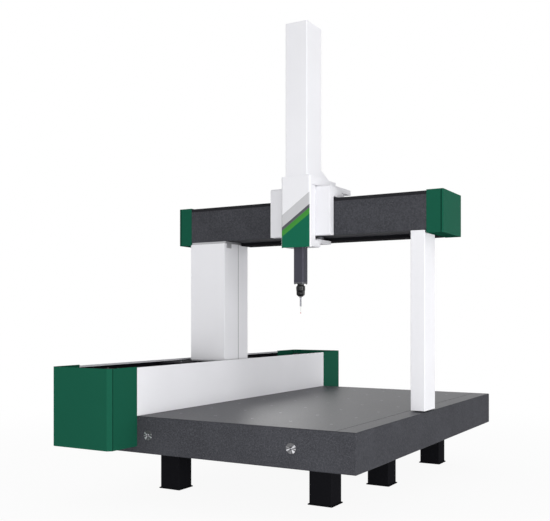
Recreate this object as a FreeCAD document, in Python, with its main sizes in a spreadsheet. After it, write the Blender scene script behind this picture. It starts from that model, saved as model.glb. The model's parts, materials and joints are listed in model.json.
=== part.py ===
# Moving-bridge coordinate measuring machine, in millimetres.
# Frame: X runs along the bridge beam, Y runs away from the operator, Z is up.
# The origin is on the floor below the middle of the granite table.
import FreeCAD
import Part
import Sketcher
import math
import os
import re

doc = FreeCAD.newDocument("coordinate_measuring_machine")

# Driving sizes, each written once
SIZES = {
    # granite table and what stands under it
    "table_width": 2360,
    "table_length": 3360,
    "table_thickness": 280,
    "table_height": 670,
    "table_bevel": 6,
    "track_width": 146,
    "track_groove": 4,
    "plug_diameter": 76,
    "plug_depth": 40,
    "plug_key": 20,
    "left_plug_inset": 676,
    "right_plug_inset": 477,
    "insert_diameter": 22,
    "insert_depth": 30,
    "insert_thread_bore": 6.8,
    "insert_pitch_across": 640,
    "insert_pitch_along": 900,
    "insert_floor": 4,
    "post_side": 184,
    "post_wall": 8,
    "post_flange": 204,
    "post_flange_thickness": 10,
    "left_post_inset": 466,
    "near_right_post_inset": 572,
    "mid_right_post_inset": 491,
    "far_right_post_inset": 461,
    "near_left_post_y": -1000,
    "near_right_post_y": -915,
    "mid_right_post_y": 54,
    "far_post_y": 1340,
    # raised guide trough along the left side
    "trough_width": 574,
    "panel_height": 368,
    "panel_wall": 3,
    "panel_top_flange": 12,
    "panel_foot_flange": 25,
    "rail_width": 350,
    "rail_height": 270,
    "rail_end_inset": 30,
    "rail_offset": 23,
    "rail_bevel": 5,
    "end_cover_proud": 2,
    "end_cover_rise": 6,
    "end_cover_drop": 230,
    "end_cover_wall": 3,
    "end_cover_bevel": 30,
    "near_cover_depth": 326,
    "far_cover_depth": 435,
    "scale_width": 20,
    "scale_thickness": 1.5,
    "stop_thickness": 20,
    "stop_height": 80,
    "stop_nose_length": 24,
    "stop_nose_diameter": 30,
    # belt drives
    "belt_thickness": 3,
    "wide_belt_width": 25,
    "wide_belt_gap": 14,
    "slim_belt_width": 16,
    "slim_belt_gap": 3,
    "long_pulley_radius": 40,
    "slim_pulley_radius": 30,
    "slim_pulley_gap": 10,
    "lift_pulley_radius": 25,
    "lift_belt_gap": 12,
    "lift_low_gap": 20,
    "lift_high_gap": 40,
    "wide_pulley_teeth": 25,
    "slim_pulley_teeth": 19,
    "lift_pulley_teeth": 16,
    "tooth_gap": 6,
    "tooth_depth": 3,
    "pulley_rim": 4,
    "pulley_flange": 2,
    "clamp_length": 120,
    "clamp_jaw": 10,
    "bracket_reach": 34,
    "bracket_foot": 110,
    "slim_bracket_foot": 60,
    "slim_plate_setback": 2,
    "wide_motor_width": 90,
    "long_motor_length": 120,
    "motor_gearbox_length": 60,
    "motor_can_step": 5,
    "motor_hole_play": 3,
    "shaft_diameter": 20,
    "slim_shaft_diameter": 12,
    "shaft_clearance": 0.05,
    "wide_pulley_offset": 90,
    "long_pulley_height": 190,
    "bracket_wall": 12,
    # saddle that runs on the guide rail
    "saddle_length": 1200,
    "saddle_plate": 60,
    "skirt_wall": 40,
    "skirt_depth": 200,
    "saddle_bevel": 10,
    "saddle_pad_height": 22,
    "saddle_pad_diameter": 120,
    "air_film": 0.3,
    "seat_clearance": 0.3,
    # legs of the bridge
    "left_leg_width": 364,
    "leg_depth": 420,
    "leg_cover_wall": 3,
    "leg_cover_radius": 2.5,
    "left_leg_gap": 9,
    "left_leg_core_wall": 14,
    "leg_seam": 3,
    "leg_seam_depth": 246,
    "head_plate_thickness": 20,
    "head_plate_proud": 6,
    "head_lug_drop": 40,
    "head_lug_start": 34,
    "head_lug_length": 80,
    "right_leg_width": 116,
    "right_leg_depth": 262,
    "right_leg_wall": 10,
    "right_leg_gap": 10,
    "leg_corner_radius": 6,
    "foot_pad_diameter": 84,
    # bridge beam
    "bridge_front_y": -300,
    "left_leg_inset": 510,
    "beam_clearance": 1441,
    "beam_height": 310,
    "beam_depth": 460,
    "beam_left_overhang": 410,
    "beam_right_overhang": 183,
    "beam_bevel": 3,
    "strip_height": 28,
    "strip_thickness": 4,
    "tray_depth": 178,
    "tray_height": 26,
    "tray_wall": 3,
    "beam_cover_length": 134,
    "beam_cover_lap": 54,
    "beam_cover_wall": 2,
    "beam_cover_rise": 7,
    "beam_cover_drop": 25,
    "beam_cover_back": 32,
    "belt_run_height": 164,
    "slim_motor_diameter": 54,
    "slim_motor_length": 140,
    "lift_motor_length": 105,
    "beam_cover_radius": 8,
    # carriage on the beam
    "carriage_x": 147,
    "wing_left": 304,
    "wing_right": 257,
    "wing_thickness": 70,
    "wing_gap": 6,
    "wing_drop": 3,
    "wing_bevel": 14,
    "shelf_gap": 13,
    "shelf_thickness": 37,
    "shelf_length": 286,
    "shelf_rise": 55,
    "shelf_bulge": 6,
    "pad_diameter": 90,
    "pad_pocket": 15,
    "pad_spread": 190,
    "neck_width": 246,
    "spine_width": 220,
    "housing_seam": 2,
    "housing_seam_setback": 100,
    "front_cover_width": 274,
    "front_cover_height": 595,
    "front_cover_wall": 2.5,
    "front_cover_return": 30,
    "front_cover_radius": 20,
    "housing_drop": 107,
    "housing_lip": 6,
    "housing_foot_height": 57,
    "ram_setback": 54,
    "arm_width": 216,
    "arm_thickness": 40,
    "arm_taper": 12,
    "arm_gap": 26,
    "arm_tray_gap": 9,
    "tower_drop": 2,
    "tower_step": 26,
    "tower_step_y": 5,
    "tower_back_y": 337,
    "rear_gap": 22,
    "rear_plate_thickness": 44,
    "rear_plate_width": 220,
    "rear_plate_drop": 281,
    "rib_thickness": 20,
    "rib_spacing": 140,
    "rib_depth": 100,
    "rib_height": 230,
    "rear_pad_diameter": 70,
    "rear_pad_spread": 95,
    "low_pad_rise": 70,
    "high_pad_drop": 85,
    "z_low_pad_rise": 150,
    "z_high_pad_drop": 80,
    # tall Z column
    "column_width": 200,
    "column_depth": 289,
    "column_height": 1286,
    "column_setback": 11,
    "column_wall": 3,
    "column_radius": 10,
    "column_frame_wall": 10,
    "brace_width": 120,
    "brace_height": 131,
    "brace_length": 304,
    "brace_wall": 3,
    "crown_thickness": 15,
    # ram
    "ram_width": 90,
    "ram_length": 1686,
    "ram_bevel": 7,
    "ram_bore": 50,
    "ram_drop": 287,
    "ram_plate_thickness": 14,
    "ram_bracket_thickness": 12,
    "ram_bracket_arm": 22,
    "ram_bracket_play": 2,
    "ram_tuck": 16,
    "z_pad_thickness": 14,
    "z_pad_height": 70,
    "z_pad_width": 64,
    "piston_length": 60,
    "piston_rise": 34,
    "piston_clearance": 0.1,
    "rod_diameter": 20,
    # probe head, probe and stylus
    "head_drum_radius": 38,
    "head_bevel": 9,
    "head_neck_diameter": 56,
    "head_neck_length": 13,
    "swivel_joint_drop": 44,
    "knuckle_radius": 30,
    "knuckle_drop": 80,
    "knuckle_width": 39.4,
    "knuckle_bevel": 5,
    "knuckle_flat": 2,
    "fork_gap": 0.3,
    "fork_opening": 20,
    "fork_radius": 21,
    "fork_bevel": 4,
    "pivot_diameter": 12,
    "pivot_length": 58,
    "probe_diameter": 14,
    "probe_collar_diameter": 20,
    "probe_length": 81,
    "probe_collar_length": 12,
    "stylus_diameter": 5,
    "stylus_length": 56,
    "stylus_hub_diameter": 9,
    "stylus_hub_length": 8,
    "tip_diameter": 8,
}

# Places and fits worked out from the sizes
PLACES = {
    "table_right": "table_width / 2",
    "table_left": "-table_width / 2",
    "table_near": "-table_length / 2",
    "table_far": "table_length / 2",
    "table_bottom": "table_height - table_thickness",
    "trough_left": "table_left",
    "trough_right": "table_left + trough_width",
    "panel_top": "table_height + panel_height",
    "insert_middle": "(trough_right + table_right - track_width) / 2",
    # rail and saddle
    "rail_middle": "(trough_left + trough_right) / 2 + rail_offset",
    "rail_left": "rail_middle - rail_width / 2",
    "rail_right": "rail_middle + rail_width / 2",
    "rail_top": "table_height + rail_height",
    "rail_near": "table_near + rail_end_inset",
    "rail_far": "table_far - rail_end_inset",
    "saddle_bottom": "rail_top + saddle_pad_height",
    "saddle_top": "saddle_bottom + saddle_plate",
    "skirt_inside": "rail_width / 2 + saddle_pad_height",
    "saddle_middle_y": "bridge_front_y + leg_depth / 2",
    "saddle_near": "saddle_middle_y - saddle_length / 2",
    "saddle_far": "saddle_middle_y + saddle_length / 2",
    "skirt_bottom": "saddle_bottom - skirt_depth",
    # long belt drive beside the rail
    "long_belt_z": "table_height + long_pulley_height",
    "long_belt_left": "trough_left + panel_wall + wide_belt_gap",
    "long_belt_right": "long_belt_left + wide_belt_width",
    "near_pulley_y": "table_near - wide_pulley_offset",
    "far_pulley_y": "table_far + wide_pulley_offset",
    "long_bracket_left": "long_belt_right + wide_belt_gap",
    "long_run_low": "long_belt_z + long_pulley_radius + air_film",
    "long_run_high": "long_run_low + belt_thickness",
    "saddle_left": "rail_middle - skirt_inside - skirt_wall",
    # bridge
    "left_leg_right": "table_left + left_leg_inset",
    "left_leg_left": "left_leg_right - left_leg_width",
    "right_leg_left": "table_right - right_leg_width",
    "beam_bottom": "table_height + beam_clearance",
    "beam_top": "beam_bottom + beam_height",
    "beam_left": "left_leg_right - beam_left_overhang",
    "beam_right": "right_leg_left + beam_right_overhang",
    "beam_back": "bridge_front_y + beam_depth",
    "tray_front": "beam_back - tray_depth",
    "leg_seam_y": "bridge_front_y + leg_seam_depth",
    "leg_back": "bridge_front_y + leg_depth",
    "leg_cover_bottom": "saddle_top + left_leg_gap",
    "core_gap": "leg_cover_wall + seat_clearance",
    "head_plate_bottom": "beam_bottom - head_plate_thickness",
    "beam_cover_left_outer": "beam_left + beam_cover_lap - beam_cover_length",
    "beam_cover_right_outer": "beam_right - beam_cover_lap + beam_cover_length",
    "slim_belt_z": "beam_bottom + belt_run_height",
    "slim_belt_front": "beam_back + slim_belt_gap",
    "slim_belt_back": "slim_belt_front + slim_belt_width",
    "slim_pulley_reach": "slim_pulley_radius + slim_pulley_gap",
    "slim_run_low": "slim_belt_z + slim_pulley_radius + air_film",
    "slim_run_high": "slim_run_low + belt_thickness",
    "slim_plate_back": "beam_back - slim_plate_setback",
    "slim_plate_front": "slim_plate_back - bracket_wall",
    "left_pulley_x": "beam_left - slim_pulley_reach",
    "right_pulley_x": "beam_right + slim_pulley_reach",
    # carriage
    "wing_back": "bridge_front_y - wing_gap",
    "wing_front": "wing_back - wing_thickness",
    "wing_bottom": "beam_bottom - wing_drop",
    "shelf_bottom": "beam_top + shelf_gap",
    "shelf_back": "wing_front + shelf_length",
    "shelf_top": "shelf_bottom + shelf_thickness",
    "wing_top": "shelf_top + shelf_rise",
    "cover_front": "ram_front - ram_setback",
    "housing_front": "cover_front + front_cover_wall + seat_clearance",
    "cover_bottom": "beam_bottom - housing_drop",
    "cover_top": "cover_bottom + front_cover_height",
    "tower_bottom": "wing_top",
    "tower_top": "cover_top - tower_drop",
    "return_back": "cover_front + front_cover_return",
    "housing_bottom": "cover_bottom + housing_lip",
    "arm_top": "beam_bottom - arm_gap",
    "arm_back": "tray_front - arm_tray_gap",
    "rear_plate_front": "beam_back + rear_gap",
    "rear_plate_bottom": "beam_top - rear_plate_drop",
    # ram and its channel
    "ram_middle_y": "wing_front - ram_width / 2 + ram_tuck",
    "ram_front": "ram_middle_y - ram_width / 2",
    "ram_back": "ram_middle_y + ram_width / 2",
    "channel_half": "ram_width / 2 + air_film + z_pad_thickness",
    "ram_bottom": "cover_bottom - ram_drop",
    "ram_end": "ram_bottom - ram_plate_thickness",
    "ram_top": "ram_bottom + ram_length",
    # column
    "column_front": "cover_front + column_setback",
    "column_back": "column_front + column_depth",
    "column_top": "tower_top + column_height",
    "frame_back": "column_back - column_wall - seat_clearance",
    "lift_belt_back": "frame_back - column_frame_wall - lift_belt_gap",
    "step_z": "tower_top - tower_step",
    "brace_end": "column_back + brace_length",
    "piston_bottom": "tower_bottom + piston_rise",
    "lift_belt_front": "lift_belt_back - slim_belt_width",
    "lift_low_z": "tower_top + lift_pulley_radius + lift_low_gap",
    "lift_high_z": "column_top - lift_pulley_radius - lift_high_gap",
    "frame_top": "column_top - column_wall - seat_clearance",
    # head
    "swivel_joint_z": "ram_end - swivel_joint_drop",
    "knuckle_z": "ram_end - knuckle_drop",
    "fork_top": "knuckle_z + fork_opening",
    "probe_top": "knuckle_z - knuckle_radius + knuckle_flat",
    "stylus_top": "probe_top - probe_length",
    "tip_z": "stylus_top - stylus_length",
    "tip_seat": "tip_z + sqrt((tip_diameter / 2) ^ 2 - (stylus_diameter / 2) ^ 2)",
}


def ref(formula):
    """Names the sheet that holds each size or place of a formula."""
    def named(match):
        word = match.group(0)
        if word in SIZES:
            return "Sizes." + word
        if word in PLACES:
            return "Places." + word
        return word
    return re.sub(r"[a-z][a-z_]*", named, str(formula))


def make_sheet(name, cells):
    sheet = doc.addObject("Spreadsheet::Sheet", name)
    for row, (alias, text) in enumerate(cells.items(), start=1):
        sheet.set("A%d" % row, alias)
        sheet.set("B%d" % row, text)
        sheet.setAlias("B%d" % row, alias)
    return sheet


sizes = make_sheet("Sizes", {name: str(size) for name, size in SIZES.items()})
doc.recompute()
places = make_sheet("Places", {
    name: "=" + ref(rule).replace("Places.", "") for name, rule in PLACES.items()})
doc.recompute()

# Ways of drawing and padding that every sub-part uses. Two levels closer than the tolerance count as one.
NORMAL_SIGN = {"XY": 1, "XZ": -1, "YZ": 1}
LEVEL_TOLERANCE = 0.01
subparts = []


def value(formula):
    return float(places.evalExpression(ref(formula)))


def bind(thing, field, formula):
    thing.setExpression(field, ref(formula))


def place(thing, x="0", y="0", z="0"):
    bind(thing, "Placement.Base.x", x)
    bind(thing, "Placement.Base.y", y)
    bind(thing, "Placement.Base.z", z)
    return thing


def keep(thing, label):
    """Marks a finished object as a sub-part of the machine."""
    thing.Label = label
    subparts.append(thing)
    return thing


def new_body(label, x="0", y="0", z="0"):
    body = doc.addObject("PartDesign::Body", label)
    body.AllowCompound = True
    place(body, x, y, z)
    return keep(body, label)


def rectangle(left, low, right, high):
    return [(left, low), (right, low), (right, high), (left, high)]


def square(across, up, side):
    """Square about a point."""
    half = "(%s) / 2" % side
    return rectangle("%s - %s" % (across, half), "%s - %s" % (up, half),
                     "%s + %s" % (across, half), "%s + %s" % (up, half))


def circle(across, up, diameter):
    return {"centre": (across, up), "diameter": diameter}


def belt_loop(first, second, radius):
    """Two half circles about two centres, joined by straight runs."""
    return {"ends": (first, second), "radius": radius}


def pin_point(sketch, number, corner, point):
    for axis, formula in zip("XY", point):
        index = sketch.addConstraint(
            Sketcher.Constraint("Distance" + axis, -1, 1, number, corner, value(formula)))
        bind(sketch, "Constraints[%d]" % index, formula)


def draw_corners(sketch, points):
    first = sketch.GeometryCount
    spots = [FreeCAD.Vector(value(across), value(up), 0) for across, up in points]
    count = len(points)
    for number in range(count):
        sketch.addGeometry(Part.LineSegment(spots[number], spots[(number + 1) % count]))
    for number in range(count):
        after = first + (number + 1) % count
        sketch.addConstraint(Sketcher.Constraint("Coincident", first + number, 2, after, 1))
    for number, point in enumerate(points):
        pin_point(sketch, first + number, 1, point)


def draw_circle(sketch, shape):
    centre = FreeCAD.Vector(value(shape["centre"][0]), value(shape["centre"][1]), 0)
    radius = value(shape["diameter"]) / 2
    number = sketch.addGeometry(Part.Circle(centre, FreeCAD.Vector(0, 0, 1), radius))
    pin_point(sketch, number, 3, shape["centre"])
    index = sketch.addConstraint(Sketcher.Constraint("Diameter", number, 2 * radius))
    bind(sketch, "Constraints[%d]" % index, shape["diameter"])


def draw_belt_loop(sketch, shape):
    """Round ends are drawn first, then the two runs that touch them."""
    radius = value(shape["radius"])
    first, second = [FreeCAD.Vector(value(a), value(b), 0) for a, b in shape["ends"]]
    along = (second - first).normalize()
    side = FreeCAD.Vector(-along.y, along.x, 0) * radius
    start = math.atan2(side.y, side.x)
    near = Part.ArcOfCircle(Part.Circle(first, FreeCAD.Vector(0, 0, 1), radius), start, start + math.pi)
    far = Part.ArcOfCircle(Part.Circle(second, FreeCAD.Vector(0, 0, 1), radius), start + math.pi,
                           start + 2 * math.pi)
    near_end = sketch.addGeometry(near)
    far_end = sketch.addGeometry(far)
    lower = sketch.addGeometry(Part.LineSegment(first - side, second - side))
    upper = sketch.addGeometry(Part.LineSegment(second + side, first + side))
    for one, corner, other, meet in ((near_end, 2, lower, 1), (lower, 2, far_end, 1),
                                     (far_end, 2, upper, 1), (upper, 2, near_end, 1)):
        sketch.addConstraint(Sketcher.Constraint("Tangent", one, corner, other, meet))
    pin_point(sketch, near_end, 3, shape["ends"][0])
    pin_point(sketch, far_end, 3, shape["ends"][1])
    index = sketch.addConstraint(Sketcher.Constraint("Radius", near_end, radius))
    bind(sketch, "Constraints[%d]" % index, shape["radius"])


def draw(body, plane, level, shapes):
    """One sketch on an origin plane of the body, moved to a level along the world axis."""
    sketch = body.newObject("Sketcher::SketchObject", body.Name + "_sketch")
    support = next(item for item in body.Origin.OriginFeatures if item.Role == plane + "_Plane")
    sketch.AttachmentSupport = (support, [""])
    sketch.MapMode = "FlatFace"
    bind(sketch, "AttachmentOffset.Base.z", "%d * (%s)" % (NORMAL_SIGN[plane], level))
    for shape in shapes:
        if isinstance(shape, list):
            draw_corners(sketch, shape)
        elif "ends" in shape:
            draw_belt_loop(sketch, shape)
        else:
            draw_circle(sketch, shape)
    return sketch


def pad(body, plane, low, high, *shapes):
    feature = body.newObject("PartDesign::Pad", body.Name + "_pad")
    feature.Profile = draw(body, plane, low, shapes)
    feature.Reversed = NORMAL_SIGN[plane] < 0
    bind(feature, "Length", "(%s) - (%s)" % (high, low))
    return body


def cut(body, plane, low, high, *shapes):
    feature = body.newObject("PartDesign::Pocket", body.Name + "_pocket")
    feature.Profile = draw(body, plane, low, shapes)
    feature.Reversed = NORMAL_SIGN[plane] > 0
    bind(feature, "Length", "(%s) - (%s)" % (high, low))
    return body


def soften(body, kind, size, wanted):
    """Fillet or Chamfer on the edges that wanted() accepts."""
    doc.recompute()
    tip = body.Tip
    edges = ["Edge%d" % number for number, edge in enumerate(tip.Shape.Edges, start=1)
             if wanted(edge.BoundBox)]
    feature = body.newObject("PartDesign::" + kind, body.Name + "_" + kind.lower())
    feature.Base = (tip, edges)
    bind(feature, "Radius" if kind == "Fillet" else "Size", size)
    return body


def hollow(body, wall, opened):
    """Shells the body inwards, open at the faces that opened() accepts."""
    doc.recompute()
    tip = body.Tip
    faces = ["Face%d" % number for number, face in enumerate(tip.Shape.Faces, start=1)
             if opened(face.BoundBox)]
    feature = body.newObject("PartDesign::Thickness", body.Name + "_shell")
    feature.Base = (tip, faces)
    feature.Reversed = True
    feature.Join = 1
    bind(feature, "Value", wall)
    return body


def lies_at(low, high, level):
    """True for a flat face or an edge at one level of an axis."""
    return abs(low - level) < LEVEL_TOLERANCE and abs(high - level) < LEVEL_TOLERANCE


def runs_along(axis, box):
    """True for an edge parallel to one axis."""
    spans = {"X": box.XLength, "Y": box.YLength, "Z": box.ZLength}
    return all(span < LEVEL_TOLERANCE for name, span in spans.items() if name != axis)


def slab(x, y, z):
    """Loose box between two formulas on each axis."""
    box = doc.addObject("Part::Box", "slab")
    for field, (low, high) in zip(("Length", "Width", "Height"), (x, y, z)):
        bind(box, field, "(%s) - (%s)" % (high, low))
    return place(box, x[0], y[0], z[0])


def rod(axis, x, y, z, diameter, length):
    """Loose cylinder that starts at a point and runs along one axis."""
    bar = doc.addObject("Part::Cylinder", "rod")
    turned = {"X": FreeCAD.Rotation(FreeCAD.Vector(0, 1, 0), 90),
              "Y": FreeCAD.Rotation(FreeCAD.Vector(1, 0, 0), -90),
              "Z": FreeCAD.Rotation()}
    bar.Placement = FreeCAD.Placement(FreeCAD.Vector(), turned[axis])
    bind(bar, "Radius", "(%s) / 2" % diameter)
    bind(bar, "Height", length)
    return place(bar, x, y, z)


def group(label, pieces):
    """Separate solids of one kind that share a node."""
    bundle = doc.addObject("Part::Compound", label)
    bundle.Links = pieces
    return keep(bundle, label)


# Granite table and its feet
def plug_spots():
    return [("table_left + left_plug_inset", "table_bottom + table_thickness / 2"),
            ("table_right - right_plug_inset", "table_bottom + table_thickness / 2")]


def insert_spots():
    return [("insert_middle + %d * insert_pitch_across" % across, "%s * insert_pitch_along" % along)
            for across in (-1, 0, 1) for along in (-1.5, -0.5, 0.5, 1.5)]


def make_granite_table():
    table = new_body("granite_table")
    pad(table, "XY", "table_bottom", "table_height",
        rectangle("table_left", "table_near", "table_right", "table_far"))
    soften(table, "Chamfer", "table_bevel", lambda box: True)
    groove_left = "table_right - track_width - track_groove"
    cut(table, "XZ", "table_near", "table_far",
        rectangle(groove_left, "table_height - track_groove", "table_right - track_width", "table_height"))
    plugs = [circle(x, z, "plug_diameter") for x, z in plug_spots()]
    cut(table, "XZ", "table_near", "table_near + plug_depth", *plugs)
    cut(table, "XZ", "table_far - plug_depth", "table_far", *plugs)
    cut(table, "XY", "table_height - insert_depth", "table_height",
        *[circle(x, y, "insert_diameter") for x, y in insert_spots()])


def make_thread_inserts():
    inserts = new_body("thread_inserts")
    pad(inserts, "XY", "table_height - insert_depth", "table_height",
        *[circle(x, y, "insert_diameter - seat_clearance") for x, y in insert_spots()])
    cut(inserts, "XY", "table_height - insert_depth + insert_floor", "table_height",
        *[circle(x, y, "insert_thread_bore") for x, y in insert_spots()])


def make_lifting_plugs():
    plugs = new_body("lifting_plugs")
    faces = [circle(x, z, "plug_diameter - 2 * seat_clearance") for x, z in plug_spots()]
    keys = [square(x, z, "plug_key") for x, z in plug_spots()]
    pad(plugs, "XZ", "table_near", "table_near + plug_depth", *faces)
    pad(plugs, "XZ", "table_far - plug_depth", "table_far", *faces)
    cut(plugs, "XZ", "table_near", "table_near + plug_depth / 2", *keys)
    cut(plugs, "XZ", "table_far - plug_depth / 2", "table_far", *keys)


def make_support_legs():
    spots = [("table_left + left_post_inset", "near_left_post_y"),
             ("table_left + left_post_inset", "far_post_y"),
             ("table_right - near_right_post_inset", "near_right_post_y"),
             ("table_right - mid_right_post_inset", "mid_right_post_y"),
             ("table_right - far_right_post_inset", "far_post_y")]

    def squares(side):
        return [square(x, y, side) for x, y in spots]

    legs = new_body("support_legs")
    pad(legs, "XY", "post_flange_thickness", "table_bottom - post_flange_thickness",
        *squares("post_side"), *squares("post_side - 2 * post_wall"))
    pad(legs, "XY", "0", "post_flange_thickness", *squares("post_flange"))
    pad(legs, "XY", "table_bottom - post_flange_thickness", "table_bottom", *squares("post_flange"))


# Guide rail in its trough along the left side
def make_y_guide_rail():
    rail = new_body("y_guide_rail")
    pad(rail, "XY", "table_height", "rail_top",
        rectangle("rail_left", "rail_near", "rail_right", "rail_far"))
    top = value("rail_top")
    soften(rail, "Chamfer", "rail_bevel", lambda box: lies_at(box.ZMin, box.ZMax, top))


def make_trough_panels():
    for label, face, inward in (("inner_trough_panel", "trough_right", -1),
                                ("outer_trough_panel", "trough_left", 1)):
        def inside(depth):
            return "%s + %d * %s" % (face, inward, depth)
        panel = new_body(label)
        pad(panel, "XZ", "table_near", "table_far", [
            (face, "table_height"), (face, "panel_top"),
            (inside("panel_top_flange"), "panel_top"),
            (inside("panel_top_flange"), "panel_top - panel_wall"),
            (inside("panel_wall"), "panel_top - panel_wall"),
            (inside("panel_wall"), "table_height + panel_wall"),
            (inside("panel_foot_flange"), "table_height + panel_wall"),
            (inside("panel_foot_flange"), "table_height")])


def make_trough_covers():
    for label, face, depth, way in (("near_trough_cover", "table_near", "near_cover_depth", -1),
                                    ("far_trough_cover", "table_far", "far_cover_depth", 1)):
        cover = new_body(label)
        tip = "%s + %d * %s" % (face, way, depth)
        pad(cover, "XY", "table_height - end_cover_drop", "panel_top + end_cover_rise",
            rectangle("trough_left - end_cover_proud", face, "trough_right + end_cover_proud", tip))
        mouth = value(face)
        end = value(tip)
        rim = value("panel_top + end_cover_rise")
        soften(cover, "Chamfer", "end_cover_bevel",
               lambda box: runs_along("Z", box) and lies_at(box.YMin, box.YMax, end))
        hollow(cover, "end_cover_wall",
               lambda box: lies_at(box.ZMin, box.ZMax, rim) or lies_at(box.YMin, box.YMax, mouth))


def make_y_scale():
    group("y_scale", [slab(("rail_right", "rail_right + scale_thickness"), ("rail_near", "rail_far"),
                           ("table_height + 2 * scale_width", "table_height + 3 * scale_width"))])


def make_y_end_stops():
    stops = new_body("y_end_stops")
    block = rectangle("rail_left + rail_width / 4", "rail_top",
                      "rail_right - rail_width / 4", "rail_top + stop_height")
    nose = circle("rail_middle", "saddle_bottom + saddle_plate / 2", "stop_nose_diameter")
    pad(stops, "XZ", "rail_near", "rail_near + stop_thickness", block)
    pad(stops, "XZ", "rail_far - stop_thickness", "rail_far", block)
    pad(stops, "XZ", "rail_near + stop_thickness", "rail_near + stop_thickness + stop_nose_length", nose)
    pad(stops, "XZ", "rail_far - stop_thickness - stop_nose_length", "rail_far - stop_thickness", nose)


# Belt drives
def make_belt(label, plane, low, high, first, second, radius, x="0"):
    """Flat belt about two pulleys, a film's gap outside their rims."""
    belt = new_body(label, x)
    inner = "(%s + air_film)" % radius
    pad(belt, plane, low, high, belt_loop(first, second, inner + " + belt_thickness"),
        belt_loop(first, second, inner))


def repeat_around(body, plane, count):
    """Repeats the body's last feature about its axis across a plane."""
    feature = body.Tip
    role = {"YZ": "X_Axis", "XZ": "Y_Axis"}[plane]
    pattern = body.newObject("PartDesign::PolarPattern", body.Name + "_pattern")
    pattern.Originals = [feature]
    pattern.Axis = (next(item for item in body.Origin.OriginFeatures if item.Role == role), [""])
    pattern.Angle = 360
    bind(pattern, "Occurrences", count)
    body.Tip = pattern


def make_pulley(label, plane, low, high, centre, radius, teeth, shaft_high, shaft, flanged):
    """Toothed pulley with the shaft that turns in its bracket. The driven one has a flange on each side."""
    across, up = centre
    pulley = new_body(label, *(("0", across, up) if plane == "YZ" else (across, "0", up)))
    rim = (low + " - air_film", high + " + air_film")
    pad(pulley, plane, *rim, circle("0", "0", "2 * " + radius))
    cut(pulley, plane, *rim, [
        ("-tooth_gap / 2", radius + " + pulley_rim"), ("-tooth_gap / 3", radius + " - tooth_depth"),
        ("tooth_gap / 3", radius + " - tooth_depth"), ("tooth_gap / 2", radius + " + pulley_rim")])
    repeat_around(pulley, plane, teeth)
    if flanged:
        flange = circle("0", "0", "2 * (%s + pulley_rim)" % radius)
        pad(pulley, plane, rim[0] + " - pulley_flange", rim[0], flange)
        pad(pulley, plane, rim[1], rim[1] + " + pulley_flange", flange)
    pad(pulley, plane, low, shaft_high, circle("0", "0", shaft))


def make_y_drive():
    near = ("near_pulley_y", "long_belt_z")
    far = ("far_pulley_y", "long_belt_z")
    make_belt("y_belt", "YZ", "long_belt_left", "long_belt_right", near, far, "long_pulley_radius")
    shaft_end = "long_bracket_left + bracket_wall - air_film"
    for label, centre, flanged in (("y_idler_pulley", near, False), ("y_drive_pulley", far, True)):
        make_pulley(label, "YZ", "long_belt_left", "long_belt_right", centre, "long_pulley_radius",
                    "wide_pulley_teeth", shaft_end, "shaft_diameter", flanged)
    brackets = new_body("y_pulley_brackets")
    for face, pulley, way in (("table_near", "near_pulley_y", -1), ("table_far", "far_pulley_y", 1)):
        end = "%s + %d * bracket_reach" % (pulley, way)
        pad(brackets, "YZ", "long_bracket_left", "long_bracket_left + bracket_wall", [
            (face, "table_height - bracket_foot"), (face, "long_belt_z + bracket_reach"),
            (end, "long_belt_z + bracket_reach"), (end, "long_belt_z - bracket_reach")])
        pad(brackets, "YZ", "long_bracket_left", "long_bracket_left + bracket_foot", [
            (face, "table_height - bracket_foot"), (face, "table_height - bracket_wall"),
            ("%s + %d * bracket_wall" % (face, way), "table_height - bracket_wall"),
            ("%s + %d * bracket_wall" % (face, way), "table_height - bracket_foot")])
        cut(brackets, "YZ", "long_bracket_left", "long_bracket_left + bracket_wall",
            circle(pulley, "long_belt_z", "shaft_diameter + 2 * shaft_clearance"))
    motor = new_body("y_motor")
    start = "long_bracket_left + bracket_wall"
    can = start + " + motor_gearbox_length"
    pad(motor, "YZ", start, can, square("far_pulley_y", "long_belt_z", "wide_motor_width"))
    pad(motor, "YZ", can, can + " + long_motor_length",
        circle("far_pulley_y", "long_belt_z", "wide_motor_width - 2 * motor_can_step"))


# Bridge: saddle, two legs and the beam
def make_bridge_saddle():
    saddle = new_body("bridge_saddle", "rail_middle")
    outside = "(skirt_inside + skirt_wall)"
    pad(saddle, "XZ", "saddle_near", "saddle_far", [
        ("-" + outside, "skirt_bottom"), ("-" + outside, "saddle_top"),
        (outside, "saddle_top"), (outside, "skirt_bottom"),
        ("skirt_inside", "skirt_bottom"), ("skirt_inside", "saddle_bottom"),
        ("-skirt_inside", "saddle_bottom"), ("-skirt_inside", "skirt_bottom")])
    top = value("saddle_top")
    soften(saddle, "Chamfer", "saddle_bevel", lambda box: lies_at(box.ZMin, box.ZMax, top))


def make_y_belt_clamp():
    """Jaws on the saddle's side that hold the belt's upper run."""
    low = "long_run_low - seat_clearance"
    high = "long_run_high + seat_clearance"
    clamp = new_body("y_belt_clamp", "0", "saddle_middle_y")
    pad(clamp, "XZ", "-clamp_length / 2", "clamp_length / 2", [
        ("saddle_left", low + " - clamp_jaw"), ("long_belt_left", low + " - clamp_jaw"),
        ("long_belt_left", low), ("long_belt_right + clamp_jaw / 2", low),
        ("long_belt_right + clamp_jaw / 2", high),
        ("long_belt_left", high), ("long_belt_left", high + " + clamp_jaw"),
        ("saddle_left", high + " + clamp_jaw")])


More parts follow.
